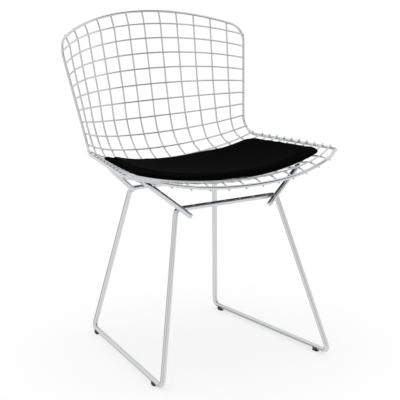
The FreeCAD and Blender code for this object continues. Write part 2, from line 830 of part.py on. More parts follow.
def glide(name, foot, other, distance, sign):
    """A small plastic shoe under a runner: a block with a round trough that the rod lies in."""
    body = doc.addObject("PartDesign::Body", name)
    body.Label = name
    block = sketch_on(body, "XY_Plane", name + "_outline")
    half_length = size("glide_length") / 2
    half_width = size("glide_width") / 2
    corners = [
        Vector(-half_length, -half_width, 0),
        Vector(half_length, -half_width, 0),
        Vector(half_length, half_width, 0),
        Vector(-half_length, half_width, 0),
    ]
    for number in range(4):
        block.addGeometry(Part.LineSegment(corners[number], corners[(number + 1) % 4]))
    for number in range(4):
        block.addConstraint(Sketcher.Constraint("Coincident", number, 2, (number + 1) % 4, 1))
    for number, kind in enumerate(("Horizontal", "Vertical", "Horizontal", "Vertical")):
        block.addConstraint(Sketcher.Constraint(kind, number))
    block.addConstraint(Sketcher.Constraint("Symmetric", 0, 1, 2, 1, -1, 1))
    long_side = block.addConstraint(Sketcher.Constraint("DistanceX", 0, 1, 0, 2, half_length * 2))
    wide_side = block.addConstraint(Sketcher.Constraint("DistanceY", 1, 1, 1, 2, half_width * 2))
    block.setExpression("Constraints[%d]" % long_side, "Sizes.glide_length")
    block.setExpression("Constraints[%d]" % wide_side, "Sizes.glide_width")
    pad = body.newObject("PartDesign::Pad", name + "_block")
    pad.Profile = block
    pad.setExpression("Length", "Sizes.glide_height")
    doc.recompute()
    upright = []
    for number, edge in enumerate(pad.Shape.Edges, start=1):
        if abs(edge.tangentAt(edge.FirstParameter).z) > 0.99:
            upright.append("Edge%d" % number)
    fillet = body.newObject("PartDesign::Fillet", name + "_corners")
    fillet.Base = (pad, upright)
    fillet.setExpression("Radius", "Sizes.glide_round")
    trough = sketch_on(body, "YZ_Plane", name + "_trough")
    radius = ROD_RADIUS + size("glide_clearance")
    trough.addGeometry(Part.Circle(Vector(0, RUNNER_Z, 0), UP, radius))
    trough.addConstraint(Sketcher.Constraint("PointOnObject", 0, 3, -2))
    high = trough.addConstraint(Sketcher.Constraint("DistanceY", -1, 1, 0, 3, RUNNER_Z))
    wide = trough.addConstraint(Sketcher.Constraint("Radius", 0, radius))
    seat = "Sizes.glide_base + Sizes.frame_rod_dia / 2"
    trough.setExpression("Constraints[%d]" % high, seat)
    fit = "Sizes.frame_rod_dia / 2 + Sizes.glide_clearance"
    trough.setExpression("Constraints[%d]" % wide, fit)
    doc.recompute()
    cut = body.newObject("PartDesign::Pocket", name + "_cut")
    cut.Profile = trough
    cut.Type = "ThroughAll"
    cut.Midplane = True
    body.Tip = cut
    along = (other - foot).normalize()
    place = foot + along * distance
    place = Vector(place.x * sign, place.y, 0)
    angle = math.degrees(math.atan2(along.y, along.x * sign))
    body.Placement = Placement(place, Rotation(UP, angle))
    parts.append(body)


for side_name, sign in (("left", -1), ("right", 1)):
    glide("front_glide_" + side_name, FRONT_FOOT, REAR_FOOT, size("front_glide_back"), sign)
    glide("rear_glide_" + side_name, REAR_FOOT, FRONT_FOOT, size("rear_glide_fore"), sign)


# Seat pad

PAD_FRONT = FRONT_Y + size("pad_front_back")
PAD_REAR = TOP_Y - size("pad_rear_fore")
PAD_MARGIN = 14


def pad_outline():
    """Upright prism on the pad's outline seen from above: bowed ends and round corners."""
    front_corner = Vector(size("pad_front_half"), PAD_FRONT + size("pad_front_bow"), 0)
    rear_corner = Vector(size("pad_rear_half"), PAD_REAR - size("pad_rear_bow"), 0)
    front = Part.Arc(mirrored(front_corner), Vector(0, PAD_FRONT, 0), front_corner).toShape()
    rear = Part.Arc(rear_corner, Vector(0, PAD_REAR, 0), mirrored(rear_corner)).toShape()
    right = Part.LineSegment(front_corner, rear_corner).toShape()
    left = Part.LineSegment(mirrored(rear_corner), mirrored(front_corner)).toShape()
    face = Part.Face(Part.Wire([front, right, rear, left]))
    prism = face.extrude(Vector(0, 0, SEAT_Z + 100))
    upright = [edge for edge in prism.Edges if abs(edge.tangentAt(edge.FirstParameter).z) > 0.99]
    return prism.makeFillet(size("pad_corner_radius"), upright)


def half_width_at(y):
    """About how wide the pad is at a distance from the front, with a margin for trimming."""
    share = min(max((y - PAD_FRONT) / (PAD_REAR - PAD_FRONT), 0.0), 1.0)
    straight = size("pad_front_half") * (1 - share) + size("pad_rear_half") * share
    near_end = min(share, 1 - share)
    return straight * min(1.0, 0.62 + 2.2 * near_end) + 12


def clear_height(x, y):
    """Height at which the pad's underside just clears the cross wires."""
    here = seat_height_at(x, y)
    slope_x = seat_height_at(x + 1, y) - here
    slope_y = seat_height_at(x, y + 1) - here
    steep = math.sqrt(1 + slope_x**2 + slope_y**2)
    return here + (size("mesh_wire_dia") / 2 + size("pad_clearance")) * steep


def bow(y, half, middle_z, edge_z):
    """An arc across the pad in a plane of constant y."""
    left = Vector(-half, y, edge_z)
    return Part.Arc(left, Vector(0, y, middle_z), mirrored(left)).toShape()


def slab_section(y, half):
    """The pad's section in a plane of constant y: a hollow arc below and a crowned one above.

    The lower arc runs through the clear heights at the middle and the edge, raised until it also
    clears the wires between them.
    """
    middle_z = clear_height(0, y)
    edge_z = clear_height(half, y)
    arc = bow(y, half, middle_z, edge_z).Curve
    checks = 12
    raise_by = 0.0
    for step in range(1, checks):
        x = half * step / checks
        across = arc.Radius**2 - x**2
        low = arc.Center.z - math.sqrt(across)
        raise_by = max(raise_by, clear_height(x, y) - low)
    middle_z += raise_by
    edge_z += raise_by
    share = (y - PAD_FRONT) / (PAD_REAR - PAD_FRONT)
    crown = size("pad_crown") * max(4 * share * (1 - share), 0.0)
    thick = size("pad_thickness")
    under = bow(y, half, middle_z, edge_z)
    over = bow(y, half, middle_z + thick + crown, edge_z + thick)
    right = Part.LineSegment(under.Vertexes[-1].Point, over.Vertexes[-1].Point).toShape()
    left = Part.LineSegment(over.Vertexes[0].Point, under.Vertexes[0].Point).toShape()
    return Part.Wire(Part.__sortEdges__([under, right, over, left]))


def pad_solid():
    """The pad's form, a dished slab on the cross wires cut to the outline, and the outline."""
    prism = pad_outline()
    wires = []
    for number in range(PAD_SECTIONS):
        share = number / (PAD_SECTIONS - 1)
        y = PAD_FRONT - PAD_MARGIN + (PAD_REAR - PAD_FRONT + 2 * PAD_MARGIN) * share
        wires.append(slab_section(y, half_width_at(y)))
    slab = Part.makeLoft(wires, True, False)
    return slab.common(prism), prism


def bevel_edges(solid, prism):
    """Bevels the pad's upper and lower edges all the way round."""
    wall = prism.Shells[0]
    upper = []
    lower = []
    for edge in solid.Edges:
        halfway = (edge.FirstParameter + edge.LastParameter) / 2
        place = edge.valueAt(halfway)
        upright = abs(edge.tangentAt(halfway).z) > 0.95
        if upright or wall.distToShape(Part.Vertex(place))[0] > 0.01:
            continue
        height = place.z - seat_height_at(place.x, place.y)
        (upper if height > size("pad_thickness") * 0.6 else lower).append(edge)
    solid = solid.makeChamfer(size("pad_under_bevel"), lower)
    return solid.makeChamfer(size("pad_top_bevel"), upper)


add_shape("seat_pad", bevel_edges(*pad_solid()))


# Checks and files

doc.recompute()
faults = []
for item in doc.Objects:
    if "Invalid" in item.State or "Error" in item.State:
        faults.append(item.Label)
for item in parts:
    if item.Shape.isNull() or not item.Shape.isValid() or not item.Shape.Solids:
        faults.append(item.Label)
if faults:
    raise RuntimeError("failed: " + ", ".join(faults))
os.makedirs("parts", exist_ok=True)
for item in parts:
    item.Shape.exportStep("parts/%s.step" % item.Label)
print(len(parts), "parts written")
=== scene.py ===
"""Wire mesh chair: the look of each piece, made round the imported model.

The chair is a bucket of crossed steel wires welded inside a rim, on a base of bent steel rod with
two runners, with a thin dark pad lying in the dish of the seat. Every wire and rod is a round
section carried along its own centreline, and the centrelines are tangent arcs worked out from the
sizes in CHAIR. Z is up, Y points to the rear, and the origin is on the floor.
"""

import functools
import math

import bmesh
import bpy
import numpy as np
from mathutils import Matrix, Vector


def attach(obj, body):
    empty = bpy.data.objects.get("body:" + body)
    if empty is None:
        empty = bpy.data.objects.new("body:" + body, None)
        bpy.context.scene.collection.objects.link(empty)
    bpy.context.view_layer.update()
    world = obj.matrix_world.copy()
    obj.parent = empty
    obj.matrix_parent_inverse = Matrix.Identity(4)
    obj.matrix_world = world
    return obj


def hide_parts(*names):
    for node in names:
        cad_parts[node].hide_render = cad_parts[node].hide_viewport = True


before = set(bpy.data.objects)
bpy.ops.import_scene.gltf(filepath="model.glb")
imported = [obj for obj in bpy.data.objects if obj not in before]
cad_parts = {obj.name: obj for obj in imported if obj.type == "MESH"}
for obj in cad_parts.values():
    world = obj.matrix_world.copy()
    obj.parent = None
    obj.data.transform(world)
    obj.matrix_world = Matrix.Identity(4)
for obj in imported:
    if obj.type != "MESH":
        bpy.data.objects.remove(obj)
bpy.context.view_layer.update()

bl_info = {
    "name": "Wire Mesh Chair",
    "version": (1, 0, 0),
    "blender": (4, 5, 0),
    "location": "View3D > Sidebar > Chair",
    "description": "Makes a welded wire mesh chair with a rod base and a seat pad",
    "category": "Object",
}

MM = 0.001

# Sizes of the basket, the base and the pad, in millimetres. The lengths that a user would change
# are in the property groups further down.
CHAIR = {
    # Middle line of the basket, from the top rim to the front rim
    "basket_depth": 557.3,
    "back_height": 759.0,
    "seat_height": 477.3,
    "flare_back": 12.2,
    "flare_drop": 27.8,
    "flare_radius": 180.0,
    "waist_fore": 88.0,
    "waist_drop": 52.9,
    "waist_radius": 120.0,
    "dip_back": 210.0,
    "dip_drop": 68.3,
    "dip_radius": 1100.0,
    "nose_back": 18.2,
    "nose_drop": 21.0,
    "nose_radius": 25.0,
    "front_drop": 31.3,
    # Side rim, from the top corner to the front corner
    "shoulder_half": 249.0,
    "shoulder_fore": 102.2,
    "shoulder_drop": 45.0,
    "shoulder_reach": 34.0,
    "waist_half": 214.1,
    "waist_rim_fore": 161.8,
    "waist_rim_rise": 11.7,
    "hip_half": 220.9,
    "hip_fore": 188.2,
    "hip_drop": 11.2,
    "waist_rim_radius": 50.0,
    "hip_rim_radius": 42.0,
    "corner_half": 274.3,
    "corner_back": 86.6,
    # Front rim between the corner and the middle
    "brow_half": 150.0,
    "brow_back": 21.4,
    "brow_rise": 8.4,
    "cheek_half": 250.0,
    "cheek_back": 63.8,
    "cheek_rise": 28.7,
    # Mesh
    "back_rows": 10,
    "seat_rows": 10,
    "half_columns": 6,
    "first_row_drop": 32.0,
    "first_row_rim": 17.0,
    "waist_row_past": 38.8,
    "waist_row_gap": 34.5,
    "last_row_back": 32.0,
    "last_row_rim": 17.4,
    "pitch_growth": 1.0,
    "row_flatness": 1.15,
    "top_flatness": 1.0,
    "flatness_rows": 4,
    "row_join": 0.6,
    "weld_gap": 0.1,
    "front_overhang": 2.0,
    "top_overhang": 3.5,
    "side_overhang": 4.5,
    "rim_joint_above": 13.0,
    # Base rods
    "elbow_radius": 14.0,
    "front_foot_half": 222.0,
    "front_foot_back": 24.0,
    "rear_foot_half": 172.3,
    "runner_length": 435.5,
    "front_bar_half": 132.0,
    "front_bar_back": 96.5,
    "front_bar_drop": 97.6,
    "rear_bar_half": 115.4,
    "rear_bar_fore": 91.6,
    "rear_bar_drop": 105.5,
    # Support rods
    "strut_foot_half": 102.0,
    "strut_foot_drop": 114.3,
    "strut_lean": 4.5,
    "strut_slope_room": 1.06,
    "strut_top_half": 205.0,
    "strut_top_back": 17.0,
    "tail_foot_half": 113.0,
    "tail_foot_drop": 108.3,
    "tail_top_half": 184.0,
    "strut_radius": 26.0,
    # Glides
    "glide_base": 3.0,
    "glide_length": 15.0,
    "glide_width": 14.0,
    "glide_height": 8.0,
    "glide_clearance": 0.3,
    "glide_draft": 0.4,
    "glide_edge": 0.35,
    "front_glide_back": 43.0,
    "rear_glide_fore": 27.0,
    # Seat pad
    "pad_front_back": 46.0,
    "pad_front_bow": 46.0,
    "pad_front_half": 246.0,
    "pad_rear_fore": 178.0,
    "pad_rear_bow": 32.0,
    "pad_rear_half": 203.0,
    "pad_corner_radius": 42.0,
    "pad_edge_round": 20.0,
    "pad_clearance": 0.4,
    # Eased wire ends
    "rim_end_ease": 0.6,
    "wire_end_ease": 0.5,
    "rod_end_ease": 1.2,
}

RIGHT = np.array([1.0, 0.0, 0.0])
UP = np.array([0.0, 0.0, 1.0])
MIRROR = np.array([-1.0, 1.0, 1.0])
TOP_Y = CHAIR["basket_depth"] / 2
FRONT_Y = -CHAIR["basket_depth"] / 2
SEAT_Z = CHAIR["seat_height"]
BACK_Z = CHAIR["back_height"]
# A place in the sitter's lap, which the inner face of the whole basket looks towards
SITTER = np.array([0.0, -40.0, SEAT_Z + 170.0])
LAST_ROW = CHAIR["back_rows"] + CHAIR["seat_rows"]
SIDES = (("left", -1), ("right", 1))

# Half widths of the weld beads along their own three axes, in millimetres
MESH_BEAD = (2.5, 2.5, 1.3)
BASE_BEAD = (6.0, 5.0, 2.6)

# Corners of each round section
MESH_SIDES = 14
RIM_SIDES = 20
ROD_SIDES = 32


def point(x, y, z):
    """A place or a direction in millimetres."""
    return np.array([x, y, z], float)


def unit(vector):
    """A vector, or each row of an array of them, at length one."""
    return vector / np.linalg.norm(vector, axis=-1, keepdims=True)


# Centrelines


class Straight:
    """A straight run: start + heading * s."""

    def __init__(self, start, end):
        self.length = float(np.linalg.norm(end - start))
        self.start = start
        self.heading = (end - start) / self.length
        self.turn = 0.0

    def follow(self, along):
        points = self.start + self.heading * along[:, None]
        return points, np.broadcast_to(self.heading, points.shape)


class Bend:
    """A round run: centre + radius * (sin(a) * heading - cos(a) * inward), where a = s / radius."""

    def __init__(self, start, heading, end):
        chord = end - start
        side = chord - heading * (chord @ heading)
        self.radius = chord @ chord / (2 * np.linalg.norm(side))
        self.inward = unit(side)
        self.heading = heading
        self.centre = start + self.inward * self.radius
        self.turn = 2 * math.atan2(chord @ self.inward, chord @ heading)
        self.length = self.radius * self.turn

    def follow(self, along):
        angle = (along / self.radius)[:, None]
        out = self.heading * np.sin(angle) - self.inward * np.cos(angle)
        heading = self.heading * np.cos(angle) + self.inward * np.sin(angle)
        return self.centre + out * self.radius, heading


# A run is straight if it bows sideways by less than this share of its chord.
NEARLY_STRAIGHT = 5e-4


def run_to(start, heading, end):
    """The run that leaves start along heading and reaches end."""
    chord = end - start
    side = chord - heading * (chord @ heading)
    if np.linalg.norm(side) < NEARLY_STRAIGHT * np.linalg.norm(chord):
        return Straight(start, end)
    return Bend(start, heading, end)


class Route:
    """Runs that follow one another without a kink, measured by the length along them."""

    def __init__(self, runs):
        self.runs = runs
        self.starts = np.cumsum([0.0] + [run.length for run in runs])
        self.length = float(self.starts[-1])

    def follow(self, along):
        """Points and headings at an array of lengths along the route."""
        along = np.atleast_1d(np.asarray(along, float))
        on_run = np.searchsorted(self.starts, along, side="right") - 1
        on_run = np.clip(on_run, 0, len(self.runs) - 1)
        points = np.empty((len(along), 3))
        headings = np.empty((len(along), 3))
        for number, run in enumerate(self.runs):
            here = on_run == number
            points[here], headings[here] = run.follow(along[here] - self.starts[number])
        return points, headings

    def point(self, along):
        return self.follow(along)[0][0]

    def tangent(self, along):
        return self.follow(along)[1][0]

    def stations(self, pitch, turn):
        """Lengths along the route, never further apart than pitch or than a bend of turn."""
        found = []
        for start, run in zip(self.starts, self.runs):
            steps = max(1, math.ceil(run.length / pitch), math.ceil(run.turn / turn))
            found.append(start + np.linspace(0, run.length, steps, endpoint=False))
        return np.append(np.concatenate(found), self.length)

    def piece(self, begin, end):
        """The runs between two lengths along the route."""
        runs = []
        for start, run in zip(self.starts, self.runs):
            low = max(begin - start, 0.0)
            high = min(end - start, run.length)
            if high - low > 1e-6:
                points, headings = run.follow(np.array([low, high]))
                runs.append(run_to(points[0], headings[0], points[1]))
        return runs

    def backwards(self):
        runs = []
        for run in reversed(self.runs):
            points, headings = run.follow(np.array([0.0, run.length]))
            runs.append(run_to(points[1], -headings[1], points[0]))
        return Route(runs)

    def mirrored(self):
        runs = []
        for run in self.runs:
            points, headings = run.follow(np.array([0.0, run.length]))
            runs.append(run_to(points[0] * MIRROR, headings[0] * MIRROR, points[1] * MIRROR))
        return Route(runs)


def both_sides(half):
    """The whole route of a rod whose right half starts at the middle of the chair."""
    return Route(half.mirrored().backwards().runs + half.runs)


def rounded(points, radii):
    """A route along straight lines whose corners are rounded to the given radii."""
    runs = []
    start = points[0]
    for before, corner, after, radius in zip(points, points[1:], points[2:], radii):
        back = unit(before - corner)
        ahead = unit(after - corner)
        reach = radius / math.tan(math.acos(back @ ahead) / 2)
        entry = corner + back * reach
        runs.append(Straight(start, entry))
        start = corner + ahead * reach
        runs.append(Bend(entry, -back, start))
    runs.append(Straight(start, points[-1]))
    return Route(runs)


def two_arcs(start, heading, end, final):
    """Two equal-armed tangent arcs from start along heading to end along final."""
    chord = end - start
    spread = 1 - heading @ final
    lead = chord @ (heading + final)
    if spread < 1e-9:
        arm = chord @ chord / (2 * lead)
    else:
        arm = (math.sqrt(lead**2 + 2 * spread * (chord @ chord)) - lead) / (2 * spread)
    middle = (start + end + (heading - final) * arm) / 2
    first = run_to(start, heading, middle)
    turned = first.follow(np.array([first.length]))[1][0]
    return [first, run_to(middle, turned, end)]


def circle_heading(before, here, after):
    """Direction at the middle one of three points, along the circle through them."""
    one = here - before
    two = after - here
    ratio = np.linalg.norm(two) / np.linalg.norm(one)
    return unit(one * ratio + two / ratio)


def through(points, heading, final):
    """A route of tangent arcs through the points, two arcs from each point to the next."""
    inner = [circle_heading(*three) for three in zip(points, points[1:], points[2:])]
    headings = [heading] + inner + [final]
    marks = list(zip(points, headings))
    runs = []
    for (start, leaving), (end, arriving) in zip(marks, marks[1:]):
        runs += two_arcs(start, leaving, end, arriving)
    return Route(runs)


# The basket's two guide lines, and the rows of cross wires between them


def middle_guide():
    """Middle line of the basket: flare, back, waist, dish and the roll over the front edge."""
    top = point(0, TOP_Y, BACK_Z)
    flare = top - point(0, CHAIR["flare_back"], CHAIR["flare_drop"])
    waist = point(0, TOP_Y - CHAIR["waist_fore"], SEAT_Z - CHAIR["waist_drop"])
    dip = point(0, FRONT_Y + CHAIR["dip_back"], SEAT_Z - CHAIR["dip_drop"])
    nose = point(0, FRONT_Y + CHAIR["nose_back"], SEAT_Z - CHAIR["nose_drop"])
    front = point(0, FRONT_Y, SEAT_Z - CHAIR["front_drop"])
    radii = [CHAIR[name + "_radius"] for name in ("flare", "waist", "dip", "nose")]
    bend_at = np.linalg.norm(top - flare) + np.linalg.norm(flare - waist)
    return rounded([top, flare, waist, dip, nose, front], radii), bend_at


def side_guide():
    """Centreline of the right-hand side rim, from the top corner to the front corner."""
    shoulder_y = TOP_Y - CHAIR["shoulder_fore"]
    shoulder = point(CHAIR["shoulder_half"], shoulder_y, BACK_Z - CHAIR["shoulder_drop"])
    waist_y = TOP_Y - CHAIR["waist_rim_fore"]
    waist = point(CHAIR["waist_half"], waist_y, SEAT_Z + CHAIR["waist_rim_rise"])
    hip = point(CHAIR["hip_half"], TOP_Y - CHAIR["hip_fore"], SEAT_Z - CHAIR["hip_drop"])
    corner = point(CHAIR["corner_half"], FRONT_Y + CHAIR["corner_back"], SEAT_Z)
    radii = [CHAIR["waist_rim_radius"], CHAIR["hip_rim_radius"]]
    return rounded([shoulder, waist, hip, corner], radii), np.linalg.norm(shoulder - waist)


MIDDLE, MIDDLE_BEND = middle_guide()
SIDE, SIDE_BEND = side_guide()
RIM_JOINT = SIDE_BEND + CHAIR["waist_row_past"] - CHAIR["rim_joint_above"]


def row_stations():
    """Lengths of each cross wire along the middle guide and along the side rim."""
    steps = CHAIR["back_rows"] - 1
    growth = CHAIR["pitch_growth"]
    back = np.arange(CHAIR["back_rows"])
    seat = np.arange(CHAIR["seat_rows"])
    first = CHAIR["first_row_drop"]
    last = MIDDLE_BEND + CHAIR["waist_row_past"]
    pitch = (last - first - growth * steps * (steps - 1) / 2) / steps
    seat_pitch = (MIDDLE.length - CHAIR["last_row_back"] - last) / CHAIR["seat_rows"]
    on_back = first + pitch * back + growth * back * (back - 1) / 2
    on_middle = np.concatenate([on_back, last + seat_pitch * (seat + 1)])

    rim_first = CHAIR["first_row_rim"]
    rim_last = SIDE_BEND + CHAIR["waist_row_past"]
    seat_first = rim_last + CHAIR["waist_row_gap"]
    rim_pitch = (rim_last - rim_first) / steps
    seat_pitch = (SIDE.length - CHAIR["last_row_rim"] - seat_first) / (CHAIR["seat_rows"] - 1)
    on_side = np.concatenate([rim_first + rim_pitch * back, seat_first + seat_pitch * seat])
    return list(zip(on_middle, on_side))


class Row:
    """Half of a cross wire: a middle arc, then a tighter tangent arc out to the rim.

    It lies in the plane through its middle point, its end point and the X direction. Its sag and
    half width fix both radii.
    """

    def __init__(self, centre, end, flatness):
        self.centre = centre
        self.half = end[0]
        rise = point(0, end[1] - centre[1], end[2] - centre[2])
        self.depth = np.linalg.norm(rise)
        self.upward = rise / self.depth
        plain = (self.half**2 + self.depth**2) / (2 * self.depth)
        self.middle_radius = flatness * plain
        self.join = math.asin(CHAIR["row_join"] * self.half / self.middle_radius)
        join_x = self.middle_radius * math.sin(self.join)
        join_up = self.middle_radius * (1 - math.cos(self.join))
        out = self.half - join_x
        up = self.depth - join_up
        lever = up * math.cos(self.join) - out * math.sin(self.join)
        self.wing_radius = (out**2 + up**2) / (2 * lever)
        self.wing_x = join_x - self.wing_radius * math.sin(self.join)
        self.wing_up = join_up + self.wing_radius * math.cos(self.join)
        joint = centre + RIGHT * join_x + self.upward * join_up
        inner = run_to(centre, RIGHT, joint)
        turned = inner.follow(np.array([inner.length]))[1][0]
        self.route = Route([inner, run_to(joint, turned, end)])

    def height_at(self, x):
        """Y and Z of the centreline at distances from the middle: the height of two arcs."""
        x = np.minimum(np.abs(x), self.half)
        inner = self.middle_radius - np.sqrt(np.maximum(self.middle_radius**2 - x**2, 0.0))
        reach = np.maximum(self.wing_radius**2 - (x - self.wing_x) ** 2, 0.0)
        outer = self.wing_up - np.sqrt(reach)
        up = np.where(x <= self.middle_radius * math.sin(self.join), inner, outer)
        return self.centre[1] + self.upward[1] * up, self.centre[2] + self.upward[2] * up


def towards_sitter(here, one, two):
    """Unit direction square to two directions, on the sitter's side of a point."""
    normal = unit(np.cross(one, two))
    return normal if normal @ (SITTER - here) > 0 else -normal


def rim_diameter(number):
    """Diameter of the rim that a row meets: the back rim down to the waist, then the seat rim."""
    sizes = bpy.context.scene.chair_wires
    return (sizes.back_rim if number < CHAIR["back_rows"] else sizes.seat_rim) / MM


def all_rows():
    """The top rim's row, the cross wires' rows and the front rim's row, from top to front."""
    mesh_wire = bpy.context.scene.chair_wires.mesh_wire / MM
    step = (CHAIR["row_flatness"] - CHAIR["top_flatness"]) / CHAIR["flatness_rows"]
    rows = [Row(MIDDLE.point(0), SIDE.point(0), CHAIR["top_flatness"])]
    for number, (on_middle, on_side) in enumerate(row_stations(), start=1):
        flatness = CHAIR["top_flatness"] + step * min(number, CHAIR["flatness_rows"])
        centre = MIDDLE.point(on_middle)
        rim_point, rim_heading = (found[0] for found in SIDE.follow(on_side))
        off = (rim_diameter(number) + mesh_wire) / 2 + CHAIR["weld_gap"]
        row = Row(centre, rim_point, flatness)
        for _ in range(2):
            heading = row.route.tangent(row.route.length)
            normal = towards_sitter(rim_point, heading, rim_heading)
            row = Row(centre, rim_point + normal * off, flatness)
        rows.append(row)
    front = MIDDLE.point(MIDDLE.length)
    rows.append(Row(front, SIDE.point(SIDE.length), CHAIR["row_flatness"]))
    return rows


def front_rim_half():
    """Front rim from its middle to the front corner, then back along the side to the joint."""
    centre = MIDDLE.point(MIDDLE.length)
    brow = centre + point(CHAIR["brow_half"], CHAIR["brow_back"], CHAIR["brow_rise"])
    cheek = centre + point(CHAIR["cheek_half"], CHAIR["cheek_back"], CHAIR["cheek_rise"])
    backwards = -SIDE.tangent(SIDE.length)
    corner = SIDE.point(SIDE.length) + backwards * CHAIR["last_row_rim"] / 2
    front = through([centre, brow, cheek, corner], RIGHT, backwards)
    down_side = Route(SIDE.piece(RIM_JOINT, SIDE.length - CHAIR["last_row_rim"] / 2))
    return Route(front.runs + down_side.backwards().runs)


def back_rim_half(rows):
    """Top rim from its middle to the rounded top corner, then down the side to the joint."""
    top = rows[0].route
    reach = CHAIR["shoulder_reach"]
    leave = top.length - reach
    ends = (top.point(leave), top.tangent(leave), SIDE.point(reach), SIDE.tangent(reach))
    return Route(top.piece(0, leave) + two_arcs(*ends) + SIDE.piece(reach, RIM_JOINT))


def ramp(number, knots):
    """Value at a row, on straight lines between (row, value) pairs."""
    return float(np.interp(number, [row for row, _ in knots], [value for _, value in knots]))


def wire_share(column, number):
    """Share of the half row at which a lengthwise wire crosses it.

    The wires are even, with part of a gap to spare outside the last one. They swell outwards a
    little between the middle and the rim, most of all at the waist.
    """
    count = CHAIR["half_columns"]
    waist = CHAIR["back_rows"]
    front = LAST_ROW + 1
    spare = ramp(number, [(0, 0.6), (waist / 2, 0.5), (waist, 0.5), (front, 0.9)])
    swell = ramp(number, [(0, 0.03), (waist / 2, 0.03), (waist, 0.11), (front, 0.0)])
    even = (column - 0.5) / (count + spare)
    return even * (1 + swell * (1 - even**2))


def under_offset(number):
    """Distance of a lengthwise wire's centreline behind the row's centreline."""
    mesh_wire = bpy.context.scene.chair_wires.mesh_wire / MM
    other = mesh_wire if 0 < number <= LAST_ROW else rim_diameter(number)
    return (mesh_wire + other) / 2 + CHAIR["weld_gap"]


def lengthwise_route(column, rows, front_rim):
    """A lengthwise wire's centreline, and the points where it is welded with their normals."""
    here = []
    across = []
    for number, row in enumerate(rows):
        along = wire_share(column, number) * row.route.length
        carrier = front_rim if number > LAST_ROW else row.route
        here.append(carrier.point(along))
        across.append(carrier.tangent(along))
    points = []
    normals = []
    for number, crossing in enumerate(here):
        before = here[max(number - 1, 0)]
        after = here[min(number + 1, LAST_ROW + 1)]
        normal = towards_sitter(crossing, across[number], after - before)
        normals.append(normal)
        points.append(crossing - normal * under_offset(number))
    start = circle_heading(points[0] * 2 - points[1], points[0], points[1])
    last = unit(points[-1] - points[-2])
    turned = circle_heading(points[-3], points[-2], points[-1])
    final = last * (2 * (last @ turned)) - turned
    top_end = points[0] - start * CHAIR["top_overhang"]
    front_end = points[-1] + final * CHAIR["front_overhang"]
    route = through([top_end] + points + [front_end], start, final)
    welds = (np.array(here) + np.array(points)) / 2
    return route, welds, np.array(normals), np.array(across)


# Meshes


def new_object(name, vertices, faces, smooth=True):
    """An object at the origin with its place in its mesh. Vertices are in millimetres.

    The four-cornered faces of a smooth piece are smooth, and its flat ends are fans of triangles.
    """
    mesh = bpy.data.meshes.new(name)
    mesh.from_pydata((np.asarray(vertices) * MM).tolist(), [], faces)
    corners = np.empty(len(mesh.polygons), int)
    mesh.polygons.foreach_get("loop_total", corners)
    mesh.polygons.foreach_set("use_smooth", (corners == 4) & smooth)
    mesh.update()
    made = bpy.data.objects.new(name, mesh)
    bpy.context.scene.collection.objects.link(made)
    return made


def finish_piece(made, material, slot, *nodes):
    """Gives a piece its material and its body, and hides the imported parts that it replaces."""
    made.data.materials.append(material)
    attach(made, "root")
    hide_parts(*nodes)
    return made


def finish_welds(name, shape):
    """Makes the object of many weld beads. It stands for no node, because a bead isn't a piece."""
    made = new_object(name, *shape)
    made.data.shade_smooth()
    made.data.materials.append(chromed_steel())
    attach(made, "root")


def quads(rows, columns, closed=False):
    """Four-cornered faces of a grid of points whose columns, and rows if closed, make a ring."""
    last = rows if closed else rows - 1
    row, column = np.meshgrid(np.arange(last), np.arange(columns), indexing="ij")
    beside = (column + 1) % columns
    here = row * columns
    after = (row + 1) % rows * columns
    corners = [here + column, here + beside, after + beside, after + column]
    return np.stack(corners, -1).reshape(-1, 4).tolist()


def fan(centre, ring, outward):
    """Triangles from a centre point to a ring of points."""
    following = np.roll(ring, -1)
    order = [np.full(len(ring), centre), following, ring]
    if not outward:
        order = order[::-1]
    return np.stack(order, -1).tolist()


# Distance from a flat end to the ring that keeps the smooth shading of the side off the end
END_RING = 0.05


def tube(route, diameter, away_from, sides, ease=0.0, pitch=5.0, turn=0.07):
    """Vertices and faces of a round bar along a route.

    P(s, a) = path(s) + r(s) * (cos(a) * out(s) + sin(a) * side(s)), where out is the direction
    away from one point, squared to the path, and side is square to both. At an eased end r
    follows a quarter circle of radius ease down to the flat end.
    """
    radius = diameter / 2
    along = route.stations(pitch, turn)
    inner = along[(along > ease + 1e-6) & (along < route.length - ease - 1e-6)]
    if ease:
        quarter = np.linspace(0, math.pi / 2, 4)
        near = ease * (1 - np.cos(quarter))
        shrink = radius - ease * (1 - np.sin(quarter))
        along = np.concatenate([near, inner, (route.length - near)[::-1]])
        radii = np.concatenate([shrink, np.full(len(inner), radius), shrink[::-1]])
    else:
        ends = [route.length - END_RING, route.length]
        along = np.concatenate([[0.0, END_RING], inner, ends])
        radii = np.full(len(along), radius)
    path, heading = route.follow(along)
    out = path - away_from
    out = unit(out - heading * np.sum(out * heading, axis=1, keepdims=True))
    side = np.cross(heading, out)
    angle = np.linspace(0, 2 * math.pi, sides, endpoint=False)
    ring = np.cos(angle)[:, None] * out[:, None] + np.sin(angle)[:, None] * side[:, None]
    surface = (path[:, None] + radii[:, None, None] * ring).reshape(-1, 3)
    vertices = np.vstack([surface, path[:1], path[-1:]])
    start, end = len(surface), len(surface) + 1
    faces = quads(len(along), sides)
    faces += fan(start, np.arange(sides), True)
    faces += fan(end, np.arange(sides) + (len(along) - 1) * sides, False)
    return vertices, faces


